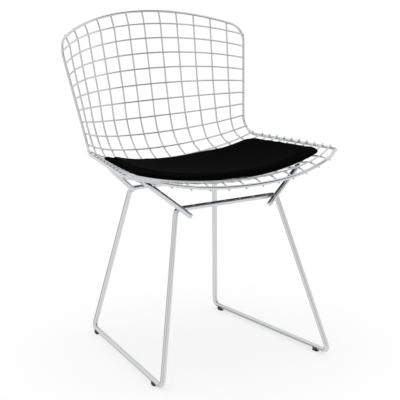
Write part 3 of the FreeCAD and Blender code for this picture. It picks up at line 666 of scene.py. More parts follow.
def beads(centres, first, third, sizes):
    """Vertices and faces of many weld beads, each an ellipsoid on its own three axes.

    P(u, v) = c + a * cos(u) * cos(v) * e1 + b * sin(u) * cos(v) * e2 + h * sin(v) * e3, where v
    rises from one pole to the other and e2 is square to e1 and e3.
    """
    around, up = 10, 5
    u = np.linspace(0, 2 * math.pi, around, endpoint=False)
    v = np.linspace(-math.pi / 2, math.pi / 2, up + 1)[1:-1]
    vv, uu = np.meshgrid(v, u, indexing="ij")
    shape = np.stack([np.cos(uu) * np.cos(vv), np.sin(uu) * np.cos(vv), np.sin(vv)], -1)
    shape = np.vstack([shape.reshape(-1, 3), [[0, 0, -1]], [[0, 0, 1]]]) * np.asarray(sizes)
    axes = np.stack([first, np.cross(third, first), third], axis=1)
    points = centres[:, None] + np.einsum("pk,nkj->npj", shape, axes)
    one = quads(up - 1, around)
    one += fan(len(shape) - 2, np.arange(around), True)
    one += fan(len(shape) - 1, np.arange(around) + (up - 2) * around, False)
    faces = []
    for number in range(len(centres)):
        first_vertex = number * len(shape)
        faces += [[corner + first_vertex for corner in face] for face in one]
    return points.reshape(-1, 3), faces


# Materials


def srgb(code):
    """A linear colour from an sRGB hex code."""
    parts = [int(code[i : i + 2], 16) / 255 for i in (0, 2, 4)]
    linear = [c / 12.92 if c <= 0.04045 else ((c + 0.055) / 1.055) ** 2.4 for c in parts]
    return (*linear, 1.0)


def add_node(material, kind, settings=None, links=None):
    """Adds a node. Settings are attributes or input values, links are (input, output) pairs."""
    node = material.node_tree.nodes.new(kind)
    for name, value in (settings or {}).items():
        if name in node.inputs and not hasattr(type(node), name):
            node.inputs[name].default_value = value
        else:
            setattr(node, name, value)
    for target, source in links or []:
        material.node_tree.links.new(source, node.inputs[target])
    return node


def new_material(name):
    material = bpy.data.materials.new(name)
    material.use_nodes = True
    material.node_tree.nodes.clear()
    return material


def shared_material(name):
    """Has a material made once. It is found by its name whenever another piece needs it."""

    def wrap(maker):
        @functools.wraps(maker)
        def fetch():
            return bpy.data.materials.get(name) or maker(new_material(name))

        return fetch

    return wrap


@shared_material("chromium_plated_steel")
def chromed_steel(material):
    """Bright chromium plate on drawn mild steel.

    The plate is mirror-like and slightly blue. Drawing and polishing leave faint waves and a
    little haze, so its highlights are soft at the edges.
    """
    colours = bpy.context.scene.chair_finish
    place = add_node(material, "ShaderNodeTexCoord").outputs["Object"]
    haze = add_node(
        material,
        "ShaderNodeTexNoise",
        {"Scale": 1 / 0.012, "Detail": 3.0, "Roughness": 0.55},
        [("Vector", place)],
    )
    rough = add_node(
        material,
        "ShaderNodeMapRange",
        {"From Min": 0.3, "From Max": 0.7, "To Min": 0.10, "To Max": 0.19},
        [("Value", haze.outputs["Fac"])],
    )
    waves = add_node(
        material,
        "ShaderNodeTexNoise",
        {"Scale": 1 / 0.006, "Detail": 1.0},
        [("Vector", place)],
    )
    bump = add_node(
        material,
        "ShaderNodeBump",
        {"Strength": 0.12, "Distance": 0.0002},
        [("Height", waves.outputs["Fac"])],
    )
    shader = add_node(
        material,
        "ShaderNodeBsdfPrincipled",
        {"Base Color": (*colours.chrome, 1.0), "Metallic": 1.0},
        [("Roughness", rough.outputs["Result"]), ("Normal", bump.outputs["Normal"])],
    )
    add_node(material, "ShaderNodeOutputMaterial", None, [("Surface", shader.outputs["BSDF"])])
    return material


@shared_material("black_woven_polyester")
def woven_cover(material):
    """Near-black woven polyester: matt, with a fine plain weave and a soft sheen at its edges."""
    settings = bpy.context.scene.chair_finish
    place = add_node(material, "ShaderNodeTexCoord").outputs["Object"]
    # Threads of the real cloth are about 0.5 mm apart; they are drawn at 1.2 mm so that they show.
    thread = 1.2 * MM
    fold = {"wave_type": "BANDS", "wave_profile": "SIN", "Scale": math.pi / (10 * thread)}
    fold |= {"Distortion": 0.6, "Detail": 1.0, "Detail Scale": 4.0}
    warp = add_node(
        material, "ShaderNodeTexWave", {**fold, "bands_direction": "X"}, [("Vector", place)]
    )
    weft = add_node(
        material, "ShaderNodeTexWave", {**fold, "bands_direction": "Y"}, [("Vector", place)]
    )
    weave = add_node(
        material,
        "ShaderNodeMath",
        {"operation": "MAXIMUM"},
        [(0, warp.outputs["Fac"]), (1, weft.outputs["Fac"])],
    )
    lint = add_node(
        material, "ShaderNodeTexNoise", {"Scale": 1 / 0.03, "Detail": 4.0}, [("Vector", place)]
    )
    shade = add_node(
        material,
        "ShaderNodeMix",
        {"data_type": "RGBA"},
        [("Factor", lint.outputs["Fac"])],
    )
    # Inputs 6 and 7 are the two colours that it mixes: the bare cloth, and the cloth with lint on.
    shade.inputs[6].default_value = (*settings.fabric, 1.0)
    shade.inputs[7].default_value = srgb("0A0A0A")
    bump = add_node(
        material,
        "ShaderNodeBump",
        {"Strength": 0.35, "Distance": 0.0003},
        [("Height", weave.outputs["Value"])],
    )
    shader = add_node(
        material,
        "ShaderNodeBsdfPrincipled",
        {
            "Roughness": 1.0,
            "Specular IOR Level": 0.01,
            "Sheen Weight": 0.001,
            "Sheen Roughness": 0.5,
        },
        [("Base Color", shade.outputs[2]), ("Normal", bump.outputs["Normal"])],
    )
    add_node(material, "ShaderNodeOutputMaterial", None, [("Surface", shader.outputs["BSDF"])])
    return material


@shared_material("black_moulded_polyethylene")
def moulded_plastic(material):
    """Black moulded polyethylene: matt, with the fine spark-eroded grain of the mould."""
    settings = bpy.context.scene.chair_finish
    place = add_node(material, "ShaderNodeTexCoord").outputs["Object"]
    grain = add_node(
        material, "ShaderNodeTexNoise", {"Scale": 1 / 0.0007, "Detail": 2.0}, [("Vector", place)]
    )
    wear = add_node(
        material, "ShaderNodeTexNoise", {"Scale": 1 / 0.004, "Detail": 3.0}, [("Vector", place)]
    )
    rough = add_node(
        material,
        "ShaderNodeMapRange",
        {"To Min": 0.42, "To Max": 0.62},
        [("Value", wear.outputs["Fac"])],
    )
    bump = add_node(
        material,
        "ShaderNodeBump",
        {"Strength": 0.25, "Distance": 0.0001},
        [("Height", grain.outputs["Fac"])],
    )
    shader = add_node(
        material,
        "ShaderNodeBsdfPrincipled",
        {"Base Color": (*settings.plastic, 1.0)},
        [("Roughness", rough.outputs["Result"]), ("Normal", bump.outputs["Normal"])],
    )
    add_node(material, "ShaderNodeOutputMaterial", None, [("Surface", shader.outputs["BSDF"])])
    return material


# Settings


def length(name, description, default, low=0.0):
    return bpy.props.FloatProperty(
        name=name, description=description, default=default, min=low, unit="LENGTH", precision=4
    )


def colour(name, description, code):
    return bpy.props.FloatVectorProperty(
        name=name,
        description=description,
        default=srgb(code)[:3],
        min=0.0,
        max=1.0,
        size=3,
        subtype="COLOR",
    )


class ChairWires(bpy.types.PropertyGroup):
    """Diameters of the wires and rods."""

    mesh_wire: length("Mesh wire", "Diameter of the cross wires and lengthwise wires", 4.0 * MM)
    back_rim: length("Back rim", "Diameter of the rim round the back", 6.0 * MM)
    seat_rim: length("Seat rim", "Diameter of the rim round the seat", 8.0 * MM)
    base_rod: length("Base rod", "Diameter of the base rods and support rods", 12.0 * MM)


class ChairPad(bpy.types.PropertyGroup):
    """The seat pad."""

    thickness: length("Thickness", "Thickness of the pad inside its edge", 13.0 * MM)
    crown: length("Crown", "Extra thickness at the middle of the pad", 3.0 * MM)
    inset: length("Inset", "How far the sewn cover starts inside the pad's space", 2.0 * MM)
    swell: length("Swell", "Most that the stuffing may push the cover out", 4.0 * MM)
    seam: length("Seam", "Thickness of the sewn edge round the pad", 2.4 * MM)
    pressure: bpy.props.FloatProperty(
        name="Pressure", description="Pressure of the stuffing", default=4.0, min=0.0
    )


class ChairFinish(bpy.types.PropertyGroup):
    """Colours of the finishes."""

    chrome: colour("Chrome", "Colour that the plated steel reflects", "D2D3D5")
    fabric: colour("Fabric", "Colour of the pad's cover", "050505")
    plastic: colour("Plastic", "Colour of the glides", "161617")


class ChairStage(bpy.types.PropertyGroup):
    """Camera, lamps and floor."""

    lens: bpy.props.FloatProperty(
        name="Lens", description="Focal length of the camera in millimetres", default=134.95
    )
    overhead: bpy.props.FloatProperty(
        name="Overhead light", description="Strength of the light from overhead", default=0.6
    )
    fill: bpy.props.FloatProperty(
        name="Fill light", description="Brightness of the light from all round", default=0.7
    )


# Operators


class MakeRims(bpy.types.Operator):
    """Make the rim round the back and the rim round the seat"""

    bl_idname = "chair.make_rims"
    bl_label = "Rims"

    def execute(self, context):
        sizes = context.scene.chair_wires
        chrome = chromed_steel()
        halves = {
            "back_rim": (back_rim_half(all_rows()), sizes.back_rim),
            "seat_rim": (front_rim_half(), sizes.seat_rim),
        }
        for name, (half, diameter) in halves.items():
            shape = tube(both_sides(half), diameter / MM, SITTER, RIM_SIDES, CHAIR["rim_end_ease"])
            finish_piece(new_object("round_" + name, *shape), chrome, "chromed_steel", name)
        return {"FINISHED"}


class MakeCrossWires(bpy.types.Operator):
    """Make the wires that run from side to side"""

    bl_idname = "chair.make_cross_wires"
    bl_label = "Cross wires"

    def execute(self, context):
        diameter = context.scene.chair_wires.mesh_wire / MM
        chrome = chromed_steel()
        for number, row in enumerate(all_rows()[1:-1], start=1):
            heading = row.route.tangent(row.route.length)
            end = row.route.point(row.route.length)
            tip = Straight(end, end + heading * CHAIR["side_overhang"])
            route = both_sides(Route(row.route.runs + [tip]))
            name = "cross_wire_%02d" % number
            shape = tube(route, diameter, SITTER, MESH_SIDES, CHAIR["wire_end_ease"])
            finish_piece(new_object("round_" + name, *shape), chrome, "chromed_steel", name)
        return {"FINISHED"}


class MakeLengthwiseWires(bpy.types.Operator):
    """Make the wires that run down the back and forward along the seat"""

    bl_idname = "chair.make_lengthwise_wires"
    bl_label = "Lengthwise wires"

    def execute(self, context):
        diameter = context.scene.chair_wires.mesh_wire / MM
        chrome = chromed_steel()
        rows = all_rows()
        rim = front_rim_half()
        for column in range(1, CHAIR["half_columns"] + 1):
            route = lengthwise_route(column, rows, rim)[0]
            for side_name, sign in SIDES:
                name = "long_wire_%s_%d" % (side_name, column)
                path = route if sign > 0 else route.mirrored()
                shape = tube(path, diameter, SITTER, MESH_SIDES, CHAIR["wire_end_ease"])
                finish_piece(new_object("round_" + name, *shape), chrome, "chromed_steel", name)
        return {"FINISHED"}


class MakeWelds(bpy.types.Operator):
    """Make the small beads where the mesh wires are welded to each other and to the rims"""

    bl_idname = "chair.make_welds"
    bl_label = "Welds"

    def execute(self, context):
        rows = all_rows()
        rim = front_rim_half()
        found = [lengthwise_route(c, rows, rim)[1:] for c in range(1, CHAIR["half_columns"] + 1)]
        centres, normals, across = (np.vstack(parts) for parts in zip(*found))
        ends = []
        for row, (_, on_side) in zip(rows[1:-1], row_stations()):
            end, heading = (found[0] for found in row.route.follow(row.route.length))
            rim_point, rim_heading = (found[0] for found in SIDE.follow(on_side))
            ends.append(((end + rim_point) / 2, towards_sitter(end, heading, rim_heading), heading))
        centres, normals, across = (
            np.vstack([inner, np.array(outer)])
            for inner, outer in zip((centres, normals, across), zip(*ends))
        )
        centres, normals, across = (
            np.vstack([part, part * MIRROR]) for part in (centres, normals, across)
        )
        across = unit(across - normals * np.sum(across * normals, axis=1, keepdims=True))
        finish_welds("mesh_welds", beads(centres, across, normals, MESH_BEAD))
        return {"FINISHED"}


def base_routes():
    """Centrelines of the front and rear base rods, each half a runner, two legs and a crossbar."""
    rod = bpy.context.scene.chair_wires.base_rod / MM
    runner_z = CHAIR["glide_base"] + rod / 2
    foot_y = FRONT_Y + CHAIR["front_foot_back"]
    rear_y = foot_y + CHAIR["runner_length"]
    front_foot = point(CHAIR["front_foot_half"], foot_y, runner_z)
    rear_foot = point(CHAIR["rear_foot_half"], rear_y, runner_z)
    front_bar = foot_y + CHAIR["front_bar_back"]
    rear_bar = rear_y - CHAIR["rear_bar_fore"]
    front_elbow = point(CHAIR["front_bar_half"], front_bar, SEAT_Z - CHAIR["front_bar_drop"])
    rear_elbow = point(CHAIR["rear_bar_half"], rear_bar, SEAT_Z - CHAIR["rear_bar_drop"])
    joint = (front_foot + rear_foot) / 2
    routes = []
    for foot, elbow in ((front_foot, front_elbow), (rear_foot, rear_elbow)):
        half = [joint, foot, elbow]
        points = [corner * MIRROR for corner in half] + half[::-1]
        routes.append(rounded(points, [CHAIR["elbow_radius"]] * 4))
    return routes, (front_foot, rear_foot), (front_bar, rear_bar)


def seat_height_at(x, y, rows):
    """Height of the cross wires' centrelines at places on the seat, between neighbouring rows."""
    seat = [row.height_at(x) for row in rows[CHAIR["back_rows"] - 3 :]]
    row_y = np.array([found[0] for found in seat])
    row_z = np.array([found[1] for found in seat])
    below = np.clip(np.sum(y < row_y, axis=0), 1, len(seat) - 1)
    y_high, y_low = (np.take_along_axis(row_y, b[None], 0)[0] for b in (below - 1, below))
    z_high, z_low = (np.take_along_axis(row_z, b[None], 0)[0] for b in (below - 1, below))
    share = np.clip((y - y_low) / (y_high - y_low), 0.0, None)
    return z_low + (z_high - z_low) * share


def support_route(bars, rows):
    """A support rod: up before the front bar, back under the seat, down by the rear bar."""
    sizes = bpy.context.scene.chair_wires
    rod = sizes.base_rod / MM
    mesh_wire = sizes.mesh_wire / MM
    off = rod + CHAIR["weld_gap"]
    front_y, rear_y = (bar - off for bar in bars)
    foot_y = front_y - CHAIR["strut_lean"]
    foot = point(CHAIR["strut_foot_half"], foot_y, SEAT_Z - CHAIR["strut_foot_drop"])
    tail = point(CHAIR["tail_foot_half"], rear_y, SEAT_Z - CHAIR["tail_foot_drop"])
    top = point(CHAIR["strut_top_half"], front_y + CHAIR["strut_top_back"], 0)
    knee = point(CHAIR["tail_top_half"], rear_y, 0)
    # The wires slope where they pass over the rod, so it lies a little lower than on level ones.
    below = (rod / 2 + mesh_wire / 2 + CHAIR["weld_gap"]) * CHAIR["strut_slope_room"]
    share = np.linspace(0, 1, 25)
    place = top + (knee - top) * share[:, None]
    height = seat_height_at(place[:, 0], place[:, 1], rows) - below
    rise = height[0] - height[-1]
    level = np.min(height + share * rise)
    top[2] = level
    knee[2] = level - rise
    return rounded([foot, top, knee, tail], [CHAIR["strut_radius"]] * 2)


class MakeBaseRods(bpy.types.Operator):
    """Make the two bent rods of the base"""

    bl_idname = "chair.make_base_rods"
    bl_label = "Base rods"

    def execute(self, context):
        diameter = context.scene.chair_wires.base_rod / MM
        routes, _, _ = base_routes()
        chrome = chromed_steel()
        for name, route in zip(("front_frame_rod", "rear_frame_rod"), routes):
            inside = route.point(route.length / 2) - point(0, 0, 200)
            shape = tube(route, diameter, inside, ROD_SIDES, pitch=10.0)
            finish_piece(new_object("round_" + name, *shape), chrome, "chromed_steel", name)
        return {"FINISHED"}


class MakeSupportRods(bpy.types.Operator):
    """Make the two support rods under the seat and their welds to the crossbars"""

    bl_idname = "chair.make_support_rods"
    bl_label = "Support rods"

    def execute(self, context):
        diameter = context.scene.chair_wires.base_rod / MM
        _, _, bars = base_routes()
        route = support_route(bars, all_rows())
        chrome = chromed_steel()
        for side_name, sign in SIDES:
            path = route if sign > 0 else route.mirrored()
            inside = path.point(path.length / 2) - point(0, 0, 60)
            name = "support_rod_" + side_name
            shape = tube(path, diameter, inside, ROD_SIDES, CHAIR["rod_end_ease"], pitch=10.0)
            finish_piece(new_object("round_" + name, *shape), chrome, "chromed_steel", name)
        # Each support rod passes a crossbar where its height is the bar's.
        along = np.linspace(0, route.length, 2000)
        path, heading = route.follow(along)
        half = len(along) // 2
        heights = (SEAT_Z - CHAIR["front_bar_drop"], SEAT_Z - CHAIR["rear_bar_drop"])
        passes = [np.argmin(np.abs(path[:half, 2] - heights[0]))]
        passes.append(half + np.argmin(np.abs(path[half:, 2] - heights[1])))
        centres = path[passes] + point(0, (diameter + CHAIR["weld_gap"]) / 2, 0)
        uphill = heading[passes]
        back = np.tile(point(0, 1, 0), (2, 1))
        uphill = unit(uphill - back * np.sum(uphill * back, axis=1, keepdims=True))
        centres, uphill, back = (
            np.vstack([part, part * MIRROR]) for part in (centres, uphill, back)
        )
        finish_welds("base_welds", beads(centres, uphill, back, BASE_BEAD))
        return {"FINISHED"}


class MakeGlides(bpy.types.Operator):
    """Make the four plastic glides under the runners"""

    bl_idname = "chair.make_glides"
    bl_label = "Glides"

    def execute(self, context):
        rod = context.scene.chair_wires.base_rod / MM
        feet = base_routes()[1]
        axis_z = CHAIR["glide_base"] + rod / 2
        half_width = CHAIR["glide_width"] / 2
        radius = rod / 2 + CHAIR["glide_clearance"]
        lip = math.sqrt(radius**2 - (axis_z - CHAIR["glide_height"]) ** 2)
        side_angle = math.atan2(CHAIR["glide_height"] - axis_z, lip)
        angle = np.linspace(side_angle, -math.pi - side_angle, 21)
        trough = np.stack([radius * np.cos(angle), axis_z + radius * np.sin(angle)], -1)
        # The outer side narrows a little towards the floor, as a moulding does to leave its mould.
        top = CHAIR["glide_height"]
        base = half_width - CHAIR["glide_draft"]
        outer = [[-half_width, top], [-base, 0], [base, 0], [half_width, top]]
        section = np.vstack([trough, outer])
        places = (("front", *feet, "front_glide_back"), ("rear", *feet[::-1], "rear_glide_fore"))
        plastic = moulded_plastic()
        for end_name, foot, other, distance in places:
            for side_name, sign in SIDES:
                along = unit(other - foot)
                centre = foot + along * CHAIR[distance]
                centre, along = centre * point(sign, 1, 0), along * point(sign, 1, 1)
                across = np.cross(UP, along)
                reach = CHAIR["glide_length"] / 2
                rows = [
                    centre + along * end + across * section[:, :1] + UP * section[:, 1:]
                    for end in (-reach, reach)
                ]
                count = len(section)
                faces = quads(2, count)
                faces += [list(range(count)), list(range(2 * count - 1, count - 1, -1))]
                name = "%s_glide_%s" % (end_name, side_name)
                made = new_object("moulded_" + name, np.vstack(rows), faces, smooth=False)
                recalculate(made)
                bevel = made.modifiers.new("rounded_edges", "BEVEL")
                bevel.width = CHAIR["glide_edge"] * MM
                bevel.segments = 3
                bevel.limit_method = "ANGLE"
                bevel.angle_limit = math.radians(40)
                finish_piece(made, plastic, "glide_plastic", name)
        return {"FINISHED"}


def recalculate(made):
    """Turns every face outwards."""
    shape = bmesh.new()
    shape.from_mesh(made.data)
    bmesh.ops.recalc_face_normals(shape, faces=shape.faces)
    shape.to_mesh(made.data)
    shape.free()


# Seat pad


def pad_outline(count):
    """Points round the pad seen from above, and which way is out at each.

    The front and rear edges are arcs, the sides are straight and the corners are arcs of one
    radius. Each corner's centre lies that radius inside both edges that it joins.
    """
    front_y = FRONT_Y + CHAIR["pad_front_back"]
    rear_y = TOP_Y - CHAIR["pad_rear_fore"]
    corner_radius = CHAIR["pad_corner_radius"]
    front = point(CHAIR["pad_front_half"], front_y + CHAIR["pad_front_bow"], 0)
    rear = point(CHAIR["pad_rear_half"], rear_y - CHAIR["pad_rear_bow"], 0)
    along = unit(rear - front)
    outward = point(along[1], -along[0], 0)
    begin = front - outward * corner_radius
    ends = (
        (front[0], CHAIR["pad_front_bow"], front_y, 1),
        (rear[0], CHAIR["pad_rear_bow"], rear_y, -1),
    )
    corners = []
    for half, bow, edge_y, sign in ends:
        radius = (half**2 + bow**2) / (2 * bow)
        centre = point(0, edge_y + sign * radius, 0)
        from_centre = begin - centre
        b = from_centre @ along
        c = from_centre @ from_centre - (radius - corner_radius) ** 2
        root = math.sqrt(b * b - c)
        reach = -b - root if sign > 0 else -b + root
        corner = begin + along * reach
        touch = centre + unit(corner - centre) * radius
        corners.append((corner, touch, point(0, edge_y, 0)))
    (front_corner, front_touch, front_middle), (rear_corner, rear_touch, rear_middle) = corners
    first = run_to(front_middle, RIGHT, front_touch)
    turned = Route([first]).tangent(first.length)
    side_start = front_corner + outward * corner_radius
    side_end = rear_corner + outward * corner_radius
    second = run_to(front_touch, turned, side_start)
    third = Straight(side_start, side_end)
    fourth = run_to(side_end, along, rear_touch)
    turned = Route([fourth]).tangent(fourth.length)
    fifth = run_to(rear_touch, turned, rear_middle)
    half_round = Route([first, second, third, fourth, fifth])
    whole = Route(half_round.runs + half_round.mirrored().backwards().runs)
    path, heading = whole.follow(np.linspace(0, whole.length, count, endpoint=False))
    return path, np.cross(heading, UP)


def pad_underside(x, y, rows):
    """Height that just clears the cross wires: their surface lifted square to itself."""
    lift = bpy.context.scene.chair_wires.mesh_wire / MM / 2 + CHAIR["pad_clearance"]
    here = seat_height_at(x, y, rows)
    slope_x = seat_height_at(x + 1.0, y, rows) - here
    slope_y = seat_height_at(x, y + 1.0, rows) - here
    return here + lift * np.sqrt(1 + slope_x**2 + slope_y**2)


# How square the pad's edge is, where 2 is a quarter of an ellipse, and the share of its thickness
# that lies below its widest line
EDGE_SQUARENESS = 2.4
SHARE_BELOW = 0.42


def pad_shape(rows):
    """Vertices and faces of the unsewn pad.

    P(u, v) runs in from the outline at u: below, from the middle out to the edge, round the edge,
    and above, back in to the middle. Its thickness is t * (1 - (1 - d / r) ** n) ** (1 / n) at a
    distance d inside the edge, up to r, plus a crown that grows to the middle.
    """
    sizes = bpy.context.scene.chair_pad
    around = 220
    path, outward = pad_outline(around)
    middle = point(0, (FRONT_Y + CHAIR["pad_front_back"] + TOP_Y - CHAIR["pad_rear_fore"]) / 2, 0)
    inset = sizes.inset / MM
    edge = path - outward * inset
    inward = middle - edge
    reach = np.linalg.norm(inward, axis=1)
    rounding = CHAIR["pad_edge_round"]
    near = rounding * (1 - np.cos(np.linspace(0, math.pi / 2, 7)))
    far = np.linspace(0, 1, 16)[1:-1]
    depth = np.vstack(
        [np.repeat(near[:, None], around, 1), rounding + far[:, None] * (reach - rounding)]
    )
    place = edge + (inward / reach[:, None]) * depth[..., None]
    x, y = place[..., 0], place[..., 1]
    under = pad_underside(x, y, rows)
    inside = 1 - np.clip(depth / rounding, 0, 1)
    full = (1 - inside**EDGE_SQUARENESS) ** (1 / EDGE_SQUARENESS)
    middle_share = np.clip(depth / reach, 0, 1)
    thickness = sizes.thickness / MM * full
    crown = sizes.crown / MM * np.sin(middle_share * math.pi / 2)
    widest = under + sizes.thickness / MM * SHARE_BELOW
    top = widest + (thickness * (1 - SHARE_BELOW) + crown * full)
    bottom = widest - thickness * SHARE_BELOW
    lower = np.stack([x, y, bottom], -1)[::-1]
    upper = np.stack([x, y, top], -1)[1:]
    middle_under = pad_underside(middle[:1], middle[1:2], rows)[0]
    low = point(middle[0], middle[1], middle_under)
    high = low + UP * (sizes.thickness + sizes.crown) / MM
    grid = np.vstack([lower.reshape(-1, 3), upper.reshape(-1, 3)])
    count = len(lower) + len(upper)
    vertices = np.vstack([grid, low, high])
    faces = quads(count, around)
    faces += fan(len(grid), np.arange(around), True)
    faces += fan(len(grid) + 1, np.arange(around) + (count - 1) * around, False)
    return vertices, faces


PAD_VOXEL = 5.0
STUFFING_FRAMES = 20


def stuff(made, rows):
    """Swells the pad with pressure, as its filling does, and keeps it off the wires."""
    sizes = bpy.context.scene.chair_pad
    scene = bpy.context.scene
    bpy.context.view_layer.objects.active = made
    made.select_set(True)
    remesh = made.modifiers.new("even_mesh", "REMESH")
    remesh.mode = "VOXEL"
    remesh.voxel_size = PAD_VOXEL * MM
    bpy.ops.object.modifier_apply(modifier=remesh.name)
    rest = np.empty(len(made.data.vertices) * 3)
    made.data.vertices.foreach_get("co", rest)
    rest = rest.reshape(-1, 3)
    cloth = made.modifiers.new("cover", "CLOTH")
    cloth.settings.quality = 5
    cloth.settings.use_pressure = True
    cloth.settings.uniform_pressure_force = sizes.pressure
    cloth.settings.effector_weights.gravity = 0
    cloth.settings.tension_stiffness = 25
    cloth.settings.compression_stiffness = 25
    cloth.point_cache.frame_start = 1
    cloth.point_cache.frame_end = STUFFING_FRAMES
    for number in range(1, STUFFING_FRAMES + 1):
        scene.frame_set(number)
    bpy.ops.object.modifier_apply(modifier=cloth.name)
    scene.frame_set(1)
    swollen = np.empty(len(made.data.vertices) * 3)
    made.data.vertices.foreach_get("co", swollen)
    moved = swollen.reshape(-1, 3) - rest
    distance = np.linalg.norm(moved, axis=1, keepdims=True)
    allowed = np.minimum(distance, sizes.swell)
    place = rest + moved * (allowed / np.maximum(distance, 1e-9))
    lowest = pad_underside(place[:, 0] / MM, place[:, 1] / MM, rows) * MM
    place[:, 2] = np.maximum(place[:, 2], lowest)
    made.data.vertices.foreach_set("co", place.ravel())
    made.data.polygons.foreach_set("use_smooth", np.full(len(made.data.polygons), True))
    made.data.update()


# Distance along the edge within which the cover's furthest point is looked for, the depth of the
# band whose heights are averaged, and the number of neighbours that even the line
SEAM_REACH = 7.0
SEAM_BAND = 0.5
SEAM_NEIGHBOURS = 15


def edge_seam(made):
    """Vertices and faces of the sewn edge round the finished pad, where its cover's halves meet.

    P(u, a) = widest(u) + r * (cos(a) * outward(u) - sin(a) * up). The widest place is the furthest
    that the cover reaches along outward near the outline's point at u, evened over its neighbours.
    """
    around, sides = 240, 8
    path, outward = pad_outline(around)
    place = np.empty(len(made.data.vertices) * 3)
    made.data.vertices.foreach_get("co", place)
    place = place.reshape(-1, 3) / MM
    heading = np.cross(UP, outward)
    beside = place @ heading.T - np.sum(path * heading, axis=1)
    reach = place @ outward.T - np.sum(path * outward, axis=1)
    reach[np.abs(beside) > SEAM_REACH] = -np.inf
    widest = reach.max(axis=0)
    near = reach > widest - SEAM_BAND
    height = np.sum(place[:, 2:] * near, axis=0) / np.sum(near, axis=0)
    spread = np.hanning(SEAM_NEIGHBOURS + 2)[1:-1]
    spread /= spread.sum()
    wrap = SEAM_NEIGHBOURS // 2
    widest, height = (
        np.convolve(np.pad(line, wrap, "wrap"), spread, "valid") for line in (widest, height)
    )
    middle = path + outward * widest[:, None] + UP * height[:, None]
    radius = bpy.context.scene.chair_pad.seam / MM / 2
    angle = np.linspace(0, 2 * math.pi, sides, endpoint=False)
    ring = np.cos(angle)[:, None] * outward[:, None] - np.sin(angle)[:, None] * UP
    surface = middle[:, None] + radius * ring
    return surface.reshape(-1, 3), quads(around, sides, closed=True)


class MakeSeatPad(bpy.types.Operator):
    """Make the thin sewn pad that lies on the seat"""

    bl_idname = "chair.make_seat_pad"
    bl_label = "Seat pad"

    def execute(self, context):
        rows = all_rows()
        made = new_object("sewn_seat_pad", *pad_shape(rows))
        made.data.shade_smooth()
        stuff(made, rows)
        made.select_set(False)
        seam = new_object("pad_edge_seam", *edge_seam(made))
        seam.data.materials.append(woven_cover())
        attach(seam, "root")
        finer = made.modifiers.new("finer", "SUBSURF")
        finer.levels = finer.render_levels = 1
        finish_piece(made, woven_cover(), "pad_fabric", "seat_pad")
        return {"FINISHED"}


# Stage

# Openings between the white screens round the chair, which its plated steel reflects: azimuth from
# the front and elevation, the angles at which each is fully dark and gone, and how dark it is.
OPENINGS = (
    (36, 36, 14, 34, 0.95),
    (-45, 16, 4, 26, 0.3),
    (-25, -8, 4, 18, 0.55),
    (-133, -8, 6, 24, 0.6),
    (-165, -28, 6, 22, 0.4),
    (155, 12, 5, 18, 0.3),
)


def direction(azimuth, elevation):
    """A unit vector. Azimuth 0 is in front of the chair, and 90 is on its right."""
    azimuth, elevation = math.radians(azimuth), math.radians(elevation)
    level = math.cos(elevation)
    return Vector((math.sin(azimuth) * level, -math.cos(azimuth) * level, math.sin(elevation)))


